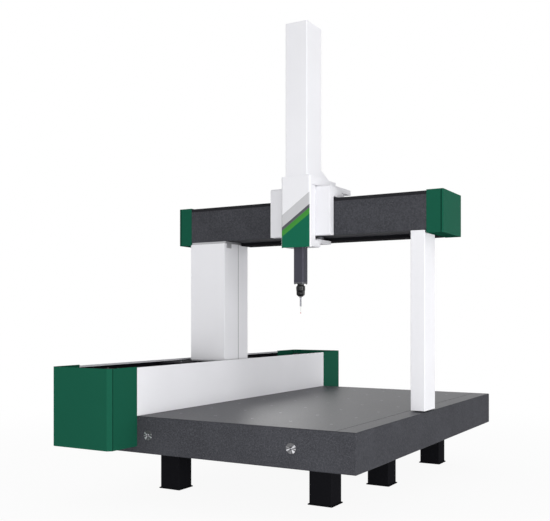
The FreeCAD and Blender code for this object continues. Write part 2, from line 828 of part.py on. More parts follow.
def make_saddle_bearings():
    pads = []
    length = "saddle_pad_height - air_film"
    for end, way in (("saddle_near", 1), ("saddle_far", -1)):
        y = "%s + %d * saddle_pad_diameter" % (end, way)
        for side in (-1, 1):
            x = "rail_middle + %d * rail_width / 4" % side
            pads.append(rod("Z", x, y, "rail_top + air_film", "saddle_pad_diameter", length))
        z = "saddle_bottom - skirt_depth / 2"
        pads.append(rod("X", "rail_middle - skirt_inside", y, z, "saddle_pad_diameter", length))
        pads.append(rod("X", "rail_right + air_film", y, z, "saddle_pad_diameter", length))
    group("saddle_bearings", pads)


def leg_cover(label, face, seam, way):
    """Sheet cover over half of the left leg, open towards the seam."""
    inside = "%s + %d * leg_cover_wall" % (face, way)
    cover = new_body(label)
    pad(cover, "XY", "leg_cover_bottom", "head_plate_bottom", [
        ("left_leg_left", seam), ("left_leg_left", face), ("left_leg_right", face), ("left_leg_right", seam),
        ("left_leg_right - leg_cover_wall", seam), ("left_leg_right - leg_cover_wall", inside),
        ("left_leg_left + leg_cover_wall", inside), ("left_leg_left + leg_cover_wall", seam)])
    plane = value(face)
    soften(cover, "Fillet", "leg_cover_radius",
           lambda box: runs_along("Z", box) and lies_at(box.YMin, box.YMax, plane))


def make_left_leg():
    core = new_body("left_leg_core")
    shell = ("left_leg_left + core_gap", "bridge_front_y + core_gap",
             "left_leg_right - core_gap", "leg_back - core_gap")
    space = [shell[0] + " + left_leg_core_wall", shell[1] + " + left_leg_core_wall",
             shell[2] + " - left_leg_core_wall", shell[3] + " - left_leg_core_wall"]
    pad(core, "XY", "saddle_top", "head_plate_bottom", rectangle(*shell), rectangle(*space))
    leg_cover("left_leg_front_cover", "bridge_front_y", "leg_seam_y - leg_seam / 2", 1)
    leg_cover("left_leg_rear_cover", "leg_back", "leg_seam_y + leg_seam / 2", -1)
    plate = new_body("left_leg_head_plate")
    inset = "leg_cover_wall + core_gap"
    pad(plate, "XY", "head_plate_bottom", "beam_bottom",
        rectangle("left_leg_left + " + inset, "bridge_front_y + " + inset,
                  "left_leg_right + head_plate_proud", "leg_back - (%s)" % inset))
    pad(plate, "XY", "head_plate_bottom - head_lug_drop", "head_plate_bottom",
        rectangle("left_leg_right", "bridge_front_y + head_lug_start", "left_leg_right + head_plate_proud",
                  "bridge_front_y + head_lug_start + head_lug_length"))


def make_right_leg():
    back = "bridge_front_y + right_leg_depth"
    leg = new_body("right_leg")
    pad(leg, "XY", "table_height + right_leg_gap", "beam_bottom",
        rectangle("right_leg_left", "bridge_front_y", "table_right", back))
    soften(leg, "Fillet", "leg_corner_radius", lambda box: runs_along("Z", box))
    cut(leg, "XY", "table_height + right_leg_gap", "beam_bottom",
        rectangle("right_leg_left + right_leg_wall", "bridge_front_y + right_leg_wall",
                  "table_right - right_leg_wall", back + " - right_leg_wall"))
    shoe = new_body("right_leg_shoe")
    inset = "leg_corner_radius"
    pad(shoe, "XY", "table_height + right_leg_gap / 2", "table_height + right_leg_gap",
        rectangle("right_leg_left + " + inset, "bridge_front_y + " + inset,
                  "table_right - " + inset, back + " - " + inset))
    middle = "(right_leg_left + table_right) / 2"
    pads = [circle(middle, "bridge_front_y + right_leg_depth / 4", "foot_pad_diameter"),
            circle(middle, "bridge_front_y + right_leg_depth * 3 / 4", "foot_pad_diameter")]
    pad(shoe, "XY", "table_height + air_film", "table_height + right_leg_gap / 2", *pads)


def make_beam():
    beam = new_body("beam")
    pad(beam, "XY", "beam_bottom", "beam_top",
        rectangle("beam_left", "bridge_front_y", "beam_right", "beam_back"))
    soften(beam, "Chamfer", "beam_bevel", lambda box: True)
    strip_ends = ("beam_left + beam_cover_lap", "beam_right - beam_cover_lap")
    cut(beam, "YZ", *strip_ends, rectangle("bridge_front_y", "beam_top - strip_height",
                                           "bridge_front_y + strip_thickness", "beam_top"))
    group("beam_scale_strip", [slab(strip_ends, ("bridge_front_y", "bridge_front_y + strip_thickness"),
                                    ("beam_top - strip_height", "beam_top"))])
    tray = new_body("beam_tray")
    low = "beam_bottom - tray_height"
    pad(tray, "YZ", "left_leg_right + 2 * head_plate_proud", "beam_right - beam_cover_lap", [
        ("tray_front", "beam_bottom"), ("tray_front", low), ("beam_back", low), ("beam_back", "beam_bottom"),
        ("beam_back - tray_wall", "beam_bottom"), ("beam_back - tray_wall", low + " + tray_wall"),
        ("tray_front + tray_wall", low + " + tray_wall"), ("tray_front + tray_wall", "beam_bottom")])


def make_beam_covers():
    front = "bridge_front_y - beam_cover_wall"
    back = "beam_back + beam_cover_back"
    low = "beam_bottom - beam_cover_drop"
    high = "beam_top + beam_cover_rise"
    for label, inner, outer in (
            ("beam_end_cover_left", "beam_left + beam_cover_lap", "beam_cover_left_outer"),
            ("beam_end_cover_right", "beam_right - beam_cover_lap", "beam_cover_right_outer")):
        cover = new_body(label)
        pad(cover, "XY", low, high, rectangle(inner, front, outer, back))
        side = value(outer)
        soften(cover, "Fillet", "beam_cover_radius",
               lambda box: runs_along("Z", box) and lies_at(box.XMin, box.XMax, side))
        mouth = value(inner)
        floor = value(low)
        hollow(cover, "beam_cover_wall",
               lambda box: lies_at(box.ZMin, box.ZMax, floor) or lies_at(box.XMin, box.XMax, mouth))


def make_x_drive():
    left = ("left_pulley_x", "slim_belt_z")
    right = ("right_pulley_x", "slim_belt_z")
    make_belt("x_belt", "XZ", "slim_belt_front", "slim_belt_back", left, right, "slim_pulley_radius")
    for label, centre, flanged in (("x_drive_pulley", left, True), ("x_idler_pulley", right, False)):
        make_pulley(label, "XZ", "slim_belt_front", "slim_belt_back", centre, "slim_pulley_radius",
                    "slim_pulley_teeth", "slim_plate_front + air_film", "slim_shaft_diameter", flanged)
    brackets = new_body("x_pulley_brackets")
    for face, pulley, way in (("beam_left", "left_pulley_x", -1), ("beam_right", "right_pulley_x", 1)):
        end = "%s + %d * bracket_reach" % (pulley, way)
        pad(brackets, "XZ", "slim_plate_front", "slim_plate_back",
            rectangle(end, "slim_belt_z - bracket_reach", face, "slim_belt_z + bracket_reach"))
        pad(brackets, "XZ", "slim_plate_front - slim_bracket_foot", "slim_plate_back",
            rectangle("%s + %d * bracket_wall" % (face, way), "slim_belt_z - slim_bracket_foot",
                      face, "slim_belt_z + slim_bracket_foot"))
        cut(brackets, "XZ", "slim_plate_front", "slim_plate_back",
            circle(pulley, "slim_belt_z", "slim_shaft_diameter + 2 * shaft_clearance"))
    group("x_motor", [rod("Y", "left_pulley_x", "slim_plate_front - slim_motor_length", "slim_belt_z",
                          "slim_motor_diameter", "slim_motor_length")])


# Carriage on the beam, drawn about the middle of the ram
def channel(front, back):
    return rectangle("-channel_half", front, "channel_half", back)


def bevel_front_corners(body, low):
    """Bevels the front corners that start at a level, to sit inside the front cover's own."""
    front = value("housing_front")
    level = value(low)

    def front_corner(box):
        starts_here = abs(box.ZMin - level) < LEVEL_TOLERANCE
        return starts_here and runs_along("Z", box) and lies_at(box.YMin, box.YMax, front)

    soften(body, "Chamfer", "front_cover_radius - front_cover_wall", front_corner)


CHANNEL_FRONT = "ram_front - air_film - z_pad_thickness"
CHANNEL_BACK = "ram_back + air_film + z_pad_thickness"


def make_carriage_frame():
    frame = new_body("carriage_frame", "carriage_x")
    pad(frame, "YZ", "-wing_left", "wing_right", [
        ("wing_back", "wing_bottom"), ("wing_front", "wing_bottom"), ("wing_front", "wing_top"),
        ("wing_front + shelf_length / 2", "shelf_top + shelf_rise / 2 + shelf_bulge"),
        ("shelf_back - shelf_thickness / 2", "shelf_top + shelf_bulge"),
        ("shelf_back", "shelf_top - shelf_thickness / 3"), ("shelf_back", "shelf_bottom"),
        ("wing_back", "shelf_bottom")])
    top = value("wing_top")
    soften(frame, "Chamfer", "wing_bevel",
           lambda box: runs_along("X", box) and lies_at(box.ZMin, box.ZMax, top))
    pad(frame, "YZ", "-spine_width / 2", "spine_width / 2",
        rectangle("wing_front", "shelf_top", "shelf_back", "tower_bottom"))
    cut(frame, "XY", "wing_bottom", "tower_bottom", channel("wing_front", CHANNEL_BACK))
    for side in (-1, 1):
        x = "%d * pad_spread" % side
        cut(frame, "XZ", "wing_back - pad_pocket", "wing_back",
            circle(x, "beam_bottom + low_pad_rise", "pad_diameter"),
            circle(x, "beam_top - high_pad_drop", "pad_diameter"))
        cut(frame, "XY", "shelf_bottom", "shelf_bottom + pad_pocket",
            circle(x, "(wing_back + shelf_back) / 2", "pad_diameter"))


def make_z_housing():
    housing = new_body("z_housing", "carriage_x")
    pad(housing, "XY", "housing_bottom + housing_foot_height", "tower_bottom",
        rectangle("-neck_width / 2", "housing_front", "neck_width / 2", "wing_front"))
    bevel_front_corners(housing, "housing_bottom + housing_foot_height")
    groove = "cover_front + housing_seam_setback"
    for side in (-1, 1):
        face = "%d * neck_width / 2" % side
        cut(housing, "XY", "housing_bottom + housing_foot_height", "tower_bottom",
            rectangle(face, groove, "%s - %d * housing_seam" % (face, side), groove + " + housing_seam"))
    inner = "(front_cover_width / 2 - front_cover_wall - seat_clearance)"
    outer = "front_cover_width / 2"
    step = "return_back + seat_clearance"
    foot_back = "wing_back - housing_seam"
    pad(housing, "XY", "housing_bottom", "housing_bottom + housing_foot_height", [
        ("-" + inner, "housing_front"), (inner, "housing_front"), (inner, step), (outer, step),
        (outer, foot_back), ("-" + outer, foot_back), ("-" + outer, step), ("-" + inner, step)])
    bevel_front_corners(housing, "housing_bottom")
    cut(housing, "XY", "housing_bottom", "tower_bottom", channel(CHANNEL_FRONT, CHANNEL_BACK))


def make_carriage_bottom_arm():
    arm = new_body("carriage_bottom_arm", "carriage_x")
    foot_back = "wing_back - housing_seam"
    pad(arm, "YZ", "-arm_width / 2", "arm_width / 2", [
        (foot_back, "arm_top"), (foot_back, "arm_top - arm_thickness"),
        ("arm_back", "arm_top - arm_thickness + arm_taper"), ("arm_back", "arm_top")])


def make_carriage_tower_base():
    base = new_body("carriage_tower_base", "carriage_x")
    outer = "front_cover_width / 2"
    pad(base, "YZ", "-" + outer, outer, [
        ("housing_front", "tower_bottom"), ("tower_back_y", "tower_bottom"), ("tower_back_y", "step_z"),
        ("tower_step_y", "step_z"), ("tower_step_y", "tower_top"), ("housing_front", "tower_top")])
    lip = "front_cover_wall + seat_clearance"
    for side in (-1, 1):
        face = "%d * %s" % (side, outer)
        cut(base, "XY", "tower_bottom", "tower_top",
            rectangle(face, "housing_front", "%s - %d * (%s)" % (face, side, lip),
                      "return_back + seat_clearance"))
    bevel_front_corners(base, "tower_bottom")
    cut(base, "XY", "tower_bottom", "tower_top", channel(CHANNEL_FRONT, CHANNEL_BACK))


def make_carriage_rear_plate():
    plate = new_body("carriage_rear_plate", "carriage_x")
    back = "rear_plate_front + rear_plate_thickness"
    pad(plate, "XY", "rear_plate_bottom", "tower_bottom",
        rectangle("-rear_plate_width / 2", "rear_plate_front", "rear_plate_width / 2", back))
    for side in (-1, 1):
        middle = "%d * rib_spacing / 2" % side
        pad(plate, "YZ", middle + " - rib_thickness / 2", middle + " + rib_thickness / 2", [
            (back, "tower_bottom"), (back + " + rib_depth", "tower_bottom"),
            (back, "tower_bottom - rib_height")])
    for level in ("slim_run_low - seat_clearance - clamp_jaw", "slim_run_high + seat_clearance"):
        pad(plate, "YZ", "-clamp_length / 4", "clamp_length / 4",
            rectangle("slim_belt_front", level, "rear_plate_front", level + " + clamp_jaw"))


def make_carriage_bearings():
    pads = []
    depth = "pad_pocket + wing_gap - air_film"
    for side in (-1, 1):
        x = "carriage_x + %d * pad_spread" % side
        for z in ("beam_bottom + low_pad_rise", "beam_top - high_pad_drop"):
            pads.append(rod("Y", x, "wing_back - pad_pocket", z, "pad_diameter", depth))
        pads.append(rod("Z", x, "(wing_back + shelf_back) / 2", "beam_top + air_film", "pad_diameter",
                        "pad_pocket + shelf_gap - air_film"))
        x = "carriage_x + %d * arm_width / 4" % side
        pads.append(rod("Z", x, "(wing_back + arm_back) / 2", "arm_top", "pad_diameter",
                        "arm_gap - air_film"))
        z = "slim_belt_z + %d * rear_pad_spread" % side
        pads.append(rod("Y", "carriage_x", "beam_back + air_film", z, "rear_pad_diameter",
                        "rear_gap - air_film"))
    group("carriage_bearings", pads)


def make_z_bearings():
    pads = []
    for z in ("cover_bottom + z_low_pad_rise", "tower_top - z_high_pad_drop"):
        height = (z, z + " + z_pad_height")
        across = ("carriage_x - z_pad_width / 2", "carriage_x + z_pad_width / 2")
        along = ("ram_middle_y - z_pad_width / 2", "ram_middle_y + z_pad_width / 2")
        pads.append(slab(across, (CHANNEL_FRONT, "ram_front - air_film"), height))
        pads.append(slab(across, ("ram_back + air_film", CHANNEL_BACK), height))
        inner = "ram_width / 2 + air_film"
        pads.append(slab(("carriage_x - channel_half", "carriage_x - (%s)" % inner), along, height))
        pads.append(slab(("carriage_x + %s" % inner, "carriage_x + channel_half"), along, height))
    group("z_bearings", pads)


def make_front_cover():
    cover = new_body("front_cover", "carriage_x")
    half = "front_cover_width / 2"
    pad(cover, "XY", "cover_bottom", "cover_top",
        rectangle("-" + half, "cover_front", half, "return_back"))
    front = value("cover_front")
    soften(cover, "Fillet", "front_cover_radius",
           lambda box: runs_along("Z", box) and lies_at(box.YMin, box.YMax, front))
    back = value("return_back")
    hollow(cover, "front_cover_wall",
           lambda box: box.ZLength < LEVEL_TOLERANCE or lies_at(box.YMin, box.YMax, back))


# Tall column with the ram's lift inside
def make_column():
    cover = new_body("column_cover", "carriage_x")
    pad(cover, "XY", "tower_top", "column_top",
        rectangle("-column_width / 2", "column_front", "column_width / 2", "column_back"))
    soften(cover, "Fillet", "column_radius", lambda box: runs_along("Z", box))
    foot = value("tower_top")
    hollow(cover, "column_wall", lambda box: lies_at(box.ZMin, box.ZMax, foot))
    cut(cover, "XZ", "column_back - column_wall", "column_back",
        circle("0", "lift_low_z", "slim_motor_diameter + 2 * motor_hole_play"))
    frame = new_body("column_frame", "carriage_x")
    outer = "(column_width / 2 - column_wall - seat_clearance)"
    inner = "(%s - column_frame_wall)" % outer
    front = "frame_back - column_depth / 2"
    wall = "frame_back - column_frame_wall"
    pad(frame, "XY", "tower_top", "frame_top", [
        ("-" + outer, front), ("-" + outer, "frame_back"), (outer, "frame_back"), (outer, front),
        (inner, front), (inner, wall), ("-" + inner, wall), ("-" + inner, front)])
    pad(frame, "XY", "frame_top - crown_thickness", "frame_top",
        rectangle("-" + outer, "ram_front", outer, "frame_back"))
    back = value("frame_back")
    soften(frame, "Fillet", "column_radius - column_wall",
           lambda box: runs_along("Z", box) and lies_at(box.YMin, box.YMax, back))
    bore = "slim_shaft_diameter + 2 * shaft_clearance"
    cut(frame, "XZ", wall, "frame_back", circle("0", "lift_low_z", bore), circle("0", "lift_high_z", bore))


def make_column_brace():
    brace = new_body("column_brace", "carriage_x")
    pad(brace, "YZ", "-brace_width / 2", "brace_width / 2", [
        ("column_back", "tower_top"), ("column_back", "tower_top + brace_height"),
        ("brace_end", "tower_top"), ("brace_end", "step_z"),
        ("tower_step_y", "step_z"), ("tower_step_y", "tower_top")])
    side = "(brace_width / 2 - brace_wall)"
    roof = "tower_top - 2 * brace_wall"
    cut(brace, "YZ", "-" + side, side, [
        ("column_back", "tower_top"), ("column_back", roof + " + brace_height"),
        ("tower_step_y", roof + " + (brace_end - tower_step_y) * brace_height / brace_length"),
        ("tower_step_y", "tower_top")])


def make_lift():
    low = ("0", "lift_low_z")
    high = ("0", "lift_high_z")
    faces = ("lift_belt_front", "lift_belt_back")
    make_belt("z_belt", "XZ", *faces, low, high, "lift_pulley_radius", "carriage_x")
    for label, up, flanged in (("z_drive_pulley", "lift_low_z", True),
                               ("z_idler_pulley", "lift_high_z", False)):
        make_pulley(label, "XZ", *faces, ("carriage_x", up), "lift_pulley_radius",
                    "lift_pulley_teeth", "frame_back - air_film", "slim_shaft_diameter", flanged)
    group("z_motor", [rod("Y", "carriage_x", "frame_back", "lift_low_z", "slim_motor_diameter",
                          "lift_motor_length")])
    piston = new_body("counterbalance_piston", "carriage_x", "ram_middle_y")
    pad(piston, "XY", "piston_bottom", "piston_bottom + piston_length",
        circle("0", "0", "ram_bore - 2 * piston_clearance"))
    pad(piston, "XY", "piston_bottom + piston_length", "frame_top - crown_thickness",
        circle("0", "0", "rod_diameter"))


# Ram that carries the probe head
def make_ram():
    section = square("0", "0", "ram_width")
    ram = new_body("ram", "carriage_x", "ram_middle_y")
    pad(ram, "XY", "ram_bottom", "ram_top", section)
    soften(ram, "Chamfer", "ram_bevel", lambda box: runs_along("Z", box))
    cut(ram, "XY", "ram_bottom + ram_width", "ram_top", circle("0", "0", "ram_bore"))
    end = new_body("ram_end_plate", "carriage_x", "ram_middle_y")
    pad(end, "XY", "ram_end", "ram_bottom", section)
    soften(end, "Chamfer", "ram_bevel", lambda box: runs_along("Z", box))
    bracket = new_body("ram_top_bracket", "carriage_x", "ram_middle_y")
    top = "ram_top + ram_bracket_thickness"
    pad(bracket, "XY", "ram_top", top, section)
    half = "ram_width / 2"
    run = "(lift_pulley_radius + pulley_rim + ram_bracket_play)"
    pad(bracket, "XY", "ram_top", top,
        rectangle("-%s - ram_bracket_arm" % run, half, "-" + run, "lift_belt_back - ram_middle_y"))
    pad(bracket, "XY", "ram_top", top, rectangle("-%s - ram_bracket_arm" % run, "0", "-" + run, half))
    cut(bracket, "XY", "ram_top", top, circle("0", "0", "ram_bore"))


# Probe head below the ram: turns about Z, then tilts about X
def make_head_body():
    head = new_body("head_body", "carriage_x", "ram_middle_y")
    shoulder = "ram_end - head_neck_length"
    pad(head, "XY", "swivel_joint_z", shoulder, circle("0", "0", "2 * head_drum_radius"))
    top = value(shoulder)
    soften(head, "Chamfer", "head_bevel", lambda box: lies_at(box.ZMin, box.ZMax, top))
    pad(head, "XY", shoulder, "ram_end", circle("0", "0", "head_neck_diameter"))


def make_head_swivel():
    """Turning plate with a fork whose cheeks carry the knuckle's pin."""
    swivel = new_body("head_swivel", "carriage_x", "ram_middle_y")
    pad(swivel, "XY", "fork_top", "swivel_joint_z - air_film", circle("0", "0", "2 * head_drum_radius"))
    low = value("fork_top")
    soften(swivel, "Chamfer", "fork_bevel", lambda box: lies_at(box.ZMin, box.ZMax, low))
    inner = "(knuckle_width / 2 + fork_gap)"
    outer = "pivot_length / 2"
    for left, right in (("-" + outer, "-" + inner), (inner, outer)):
        pad(swivel, "YZ", left, right, rectangle("-fork_radius", "knuckle_z", "fork_radius", "fork_top"))
        pad(swivel, "YZ", left, right, circle("0", "knuckle_z", "2 * fork_radius"))
    cut(swivel, "YZ", "-" + inner, inner, circle("0", "knuckle_z", "2 * (knuckle_radius + fork_gap)"))
    cut(swivel, "YZ", "-" + outer, outer, circle("0", "knuckle_z", "pivot_diameter + 2 * shaft_clearance"))


def make_head_knuckle():
    knuckle = new_body("head_knuckle", "carriage_x", "ram_middle_y")
    side = "knuckle_width / 2"
    pad(knuckle, "YZ", "-" + side, side, circle("0", "knuckle_z", "2 * knuckle_radius"))
    face = value(side)
    soften(knuckle, "Chamfer", "knuckle_bevel",
           lambda box: lies_at(box.XMin, box.XMax, face) or lies_at(box.XMin, box.XMax, -face))
    cut(knuckle, "YZ", "-" + side, side,
        rectangle("-knuckle_radius", "knuckle_z - knuckle_radius", "knuckle_radius", "probe_top"))
    pad(knuckle, "YZ", "-pivot_length / 2", "pivot_length / 2", circle("0", "knuckle_z", "pivot_diameter"))


def make_probe():
    probe = new_body("probe_body", "carriage_x", "ram_middle_y")
    collar = "probe_top - probe_collar_length"
    pad(probe, "XY", collar, "probe_top", circle("0", "0", "probe_collar_diameter"))
    pad(probe, "XY", "stylus_top", collar, circle("0", "0", "probe_diameter"))
    stylus = new_body("stylus", "carriage_x", "ram_middle_y")
    hub = "stylus_top - stylus_hub_length"
    pad(stylus, "XY", hub, "stylus_top", circle("0", "0", "stylus_hub_diameter"))
    pad(stylus, "XY", "tip_seat", hub, circle("0", "0", "stylus_diameter"))
    tip = new_body("ruby_tip", "carriage_x", "ram_middle_y", "tip_z")
    ball = tip.newObject("PartDesign::AdditiveSphere", "ruby_tip_ball")
    bind(ball, "Radius", "tip_diameter / 2")
    bind(ball, "Angle2", "acos(stylus_diameter / tip_diameter)")


def check_and_export():
    doc.recompute()
    for thing in doc.Objects:
        if "Invalid" in thing.State or "Error" in thing.State:
            raise RuntimeError("%s failed: %s" % (thing.Name, thing.State))
    os.makedirs("parts", exist_ok=True)
    for piece in subparts:
        if piece.Shape.isNull() or not piece.Shape.isValid():
            raise RuntimeError("%s has no valid shape" % piece.Label)
    for piece in subparts:
        piece.Shape.exportStep("parts/%s.step" % piece.Label)


make_granite_table()
make_thread_inserts()
make_lifting_plugs()
make_support_legs()
make_y_guide_rail()
make_trough_panels()
make_trough_covers()
make_y_scale()
make_y_end_stops()
make_y_drive()
make_bridge_saddle()
make_y_belt_clamp()
make_saddle_bearings()
make_left_leg()
make_right_leg()
make_beam()
make_beam_covers()
make_x_drive()
make_carriage_frame()
make_z_housing()
make_carriage_bottom_arm()
make_carriage_tower_base()
make_carriage_rear_plate()
make_carriage_bearings()
make_z_bearings()
make_front_cover()
make_column()
make_column_brace()
make_lift()
make_ram()
make_head_body()
make_head_swivel()
make_head_knuckle()
make_probe()
check_and_export()
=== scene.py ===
"""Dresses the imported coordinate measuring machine: finishes, screws, belt teeth, studio and camera.

Lengths are in metres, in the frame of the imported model: X along the beam, Y along the table, Z up.
"""
import json
import math
from typing import NamedTuple

import bmesh
import bpy
from bpy.props import FloatProperty, FloatVectorProperty, PointerProperty
from mathutils import Matrix, Vector


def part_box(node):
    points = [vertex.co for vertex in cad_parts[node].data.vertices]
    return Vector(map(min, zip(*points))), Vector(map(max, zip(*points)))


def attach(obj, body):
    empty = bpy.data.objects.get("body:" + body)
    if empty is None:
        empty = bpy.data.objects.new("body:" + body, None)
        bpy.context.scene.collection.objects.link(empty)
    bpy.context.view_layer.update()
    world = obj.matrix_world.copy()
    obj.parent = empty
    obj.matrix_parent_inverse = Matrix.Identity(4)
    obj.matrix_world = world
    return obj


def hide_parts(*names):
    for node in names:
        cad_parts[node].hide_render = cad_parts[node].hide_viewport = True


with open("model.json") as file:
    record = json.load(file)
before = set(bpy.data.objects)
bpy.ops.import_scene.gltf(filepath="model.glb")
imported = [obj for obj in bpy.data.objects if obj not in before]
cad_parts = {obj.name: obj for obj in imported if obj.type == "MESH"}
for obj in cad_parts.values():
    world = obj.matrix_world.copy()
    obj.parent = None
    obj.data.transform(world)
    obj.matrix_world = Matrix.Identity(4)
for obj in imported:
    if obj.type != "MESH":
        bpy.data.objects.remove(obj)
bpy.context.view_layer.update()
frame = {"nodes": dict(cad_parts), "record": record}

bl_info = {
    "name": "Coordinate Measuring Machine",
    "version": (1, 0, 0),
    "blender": (4, 5, 0),
    "location": "3D Viewport > Sidebar > Machine",
    "description": "Finishes, fastenings, studio and camera for a moving-bridge measuring machine",
    "category": "Add Mesh",
}

# Lowest and highest corner of each node at rest, its body and its material slot
BOX = {name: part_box(name) for name in frame["nodes"]}
LOW = {name: corners[0] for name, corners in BOX.items()}
HIGH = {name: corners[1] for name, corners in BOX.items()}
BODY_OF = {node: body for body, nodes in frame["record"]["behaviour"]["bodies"].items() for node in nodes}
SLOT_OF = {row["node"]: row["material_slot"] for row in frame["record"]["subparts"]}


def middle(node):
    return (LOW[node] + HIGH[node]) / 2


def on_face(node, **sides):
    """The node's middle, moved to the given coordinates."""
    spot = middle(node)
    for axis, value in sides.items():
        setattr(spot, axis, value)
    return spot


RIGHT, LEFT, AWAY, UP = (1, 0, 0), (-1, 0, 0), (0, 1, 0), (0, 0, 1)
WHITE = (1.0, 1.0, 1.0)

# How a node's faces are merged, and how their edges are found
MERGE_DISTANCE = 0.00001
FLAT_ANGLE = math.radians(0.3)
SHARP_ANGLE = math.radians(35)

# Rounding of edges by kind of part. Where none is given, the setting Edge holds.
EDGE_SEGMENTS = 2
NO_EDGE = 0.0
STYLUS_EDGE = 0.0002
SCALE_EDGE = 0.0003
FINE_EDGE = 0.0004
FOLDED_EDGE = 0.0005
COATED_EDGE = 0.0006
SHEET_EDGE = 0.0008
MACHINED_EDGE = 0.001
CASTING_EDGE = 0.002
FOOT_EDGE = 0.004

# Least share of a face's normal along an axis for it to count as facing that way
FACING = 0.9

# Gloss of a finish and depth of a powder coat's orange peel, where none is given
SHINE = 0.02
PEEL_DEPTH = 0.00006

# Scales of the patterns in the finishes: larger is finer
STONE_CLOUD, STONE_MOTTLE, STONE_CRYSTAL, STONE_GRAIN = 3.0, 75, 330, 420
PAINT_CLOUD, PAINT_PEEL = 1.7, 520
METAL_CLOUD, METAL_ALONG_LINES, METAL_ACROSS_LINES = 9.0, 14.0, 900.0
RUBBER_SKIN = 700

# Darkest and palest tone of a finish, as shares of its colour
STONE_TONES = (0.76, 1.24)
STONE_GRAIN_TONE = 1.7
PAINT_TONES = (0.985, 1.015)
METAL_TONES = (0.86, 1.12)
RUBBER_TONES = (0.8, 1.5)
# Tone of the darker sectors of the plugs' painted sheen
PLUG_DARK_TONE = 0.2
# Green of the cover floors, darker than the covers' own: painted shade under the covers
UNDERSIDE_SHADE = 0.7

# Front cover: the face that carries the stripes, and the height of each stripe's top on its middle line
STRIPE_MIDDLE = middle("front_cover").x
STRIPE_FRONT = LOW["front_cover"].y
STRIPE_DEPTH = 0.004
STRIPE_TOPS = (2.368, 2.266, 2.236, 2.186)

# Lifting plugs: the point between the two of a face, half the distance between them, and the pale line painted
# along their slots
PLUG_MIDDLE = middle("lifting_plugs")
PLUG_RADIUS = (HIGH["lifting_plugs"].z - LOW["lifting_plugs"].z) / 2
PLUG_SPREAD = (HIGH["lifting_plugs"].x - LOW["lifting_plugs"].x) / 2 - PLUG_RADIUS
SLOT_SLOPE = 0.45
SLOT_HALF_WIDTH = (0.002, 0.005)

# Trough: how far below the panels' rims the black painted shade begins
SHADE_DROP = 0.016

# Painted shade along the joints and bends between the sheets of the covers: its width and darkness, and the
# places of those on each cover
SHADED_JOINT_WIDTH = 0.008
JOINT_SHADE = 0.30
COVER_BEVEL = 0.030
BEAM_LID = 0.016
LEG_GAP = 0.003
TROUGH_SHADED_JOINTS = (("y", LOW["near_trough_cover"].y + COVER_BEVEL + SHADED_JOINT_WIDTH / 2),
                 ("y", HIGH["far_trough_cover"].y - COVER_BEVEL - SHADED_JOINT_WIDTH / 2))
BEAM_SHADED_JOINTS = (("x", LOW["beam_end_cover_left"].x + BEAM_LID),
               ("x", HIGH["beam_end_cover_right"].x - BEAM_LID))
LEG_SHADED_JOINTS = (("y", LOW["left_leg_rear_cover"].y - LEG_GAP / 2),)

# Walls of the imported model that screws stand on
PANEL_WALL = 0.003
BRACKET_WALL = 0.012
PLATE_WALL = 0.044
PLATE_SETBACK = 0.019

# Screws: shares of a head's diameter, sides, the seed of their turns, and distances from their carriers' edges
CAP_HEIGHT = 0.6
CAP_TOP_RADIUS = 0.46
CAP_KEY_RADIUS = 0.27
CAP_SIDES = 20
KEY_SIDES = 6
SCREW_SEED = 7
PAD_MARGIN = 0.06
STUD_HEIGHT = 0.1
STOP_MARGIN = 0.01
FOOT_HEIGHT = 0.05
PLATE_SCREW_HEIGHT = 0.19
COLUMN_SCREW_HEIGHT = 0.70

# Threaded inserts: the grid's places, how far a ring stands above the table, and the sides of ring and bore
INSERT_COLUMNS, INSERT_ROWS = 5, 7
INSERT_LIFT = 0.0002
RING_SIDES, BORE_SIDES = 32, 20

# Belts: share of the pitch that a tooth fills, and places left free beside the turning pulleys
TOOTH_SHARE = 0.38
FREE_TEETH = 5

# Floor sheets of the beam's end covers: their thickness and the room around them
FLOOR_WALL = 0.003
FLOOR_GAP = 0.002

# Studio floor: half its side, its grey, its share of white below the machine, and where all of it is white
STAGE_REACH = 60.0
STAGE_GREY = (0.86, 0.86, 0.86)
STAGE_GLOW = 0.93
STAGE_NEAR = 2.5
STAGE_FAR = 7.0

# Lamps by the setting that holds their power: place, the point that they face, and size
LAMPS = {
    "key": ((10.0, -3.6, 1.2), (-0.5, -0.2, 1.2), (8.0, 2.0)),
    "fill": ((2.0, -7.5, 0.9), (0.0, 0.0, 0.7), (6.0, 1.6)),
    "rear": ((-7.0, 8.0, 5.0), (0.0, 0.5, 1.5), (6.0, 4.0)),
}

# Camera: width of its sensor in millimetres, and how far it sees
SENSOR_WIDTH = 36.0
VIEW_END = 200.0


def colour(name, description, default):
    return FloatVectorProperty(name=name, description=description, subtype="COLOR", size=3,
                               min=0, max=1, default=default)


def length(name, description, default):
    return FloatProperty(name=name, description=description, default=default, unit="LENGTH", precision=4)


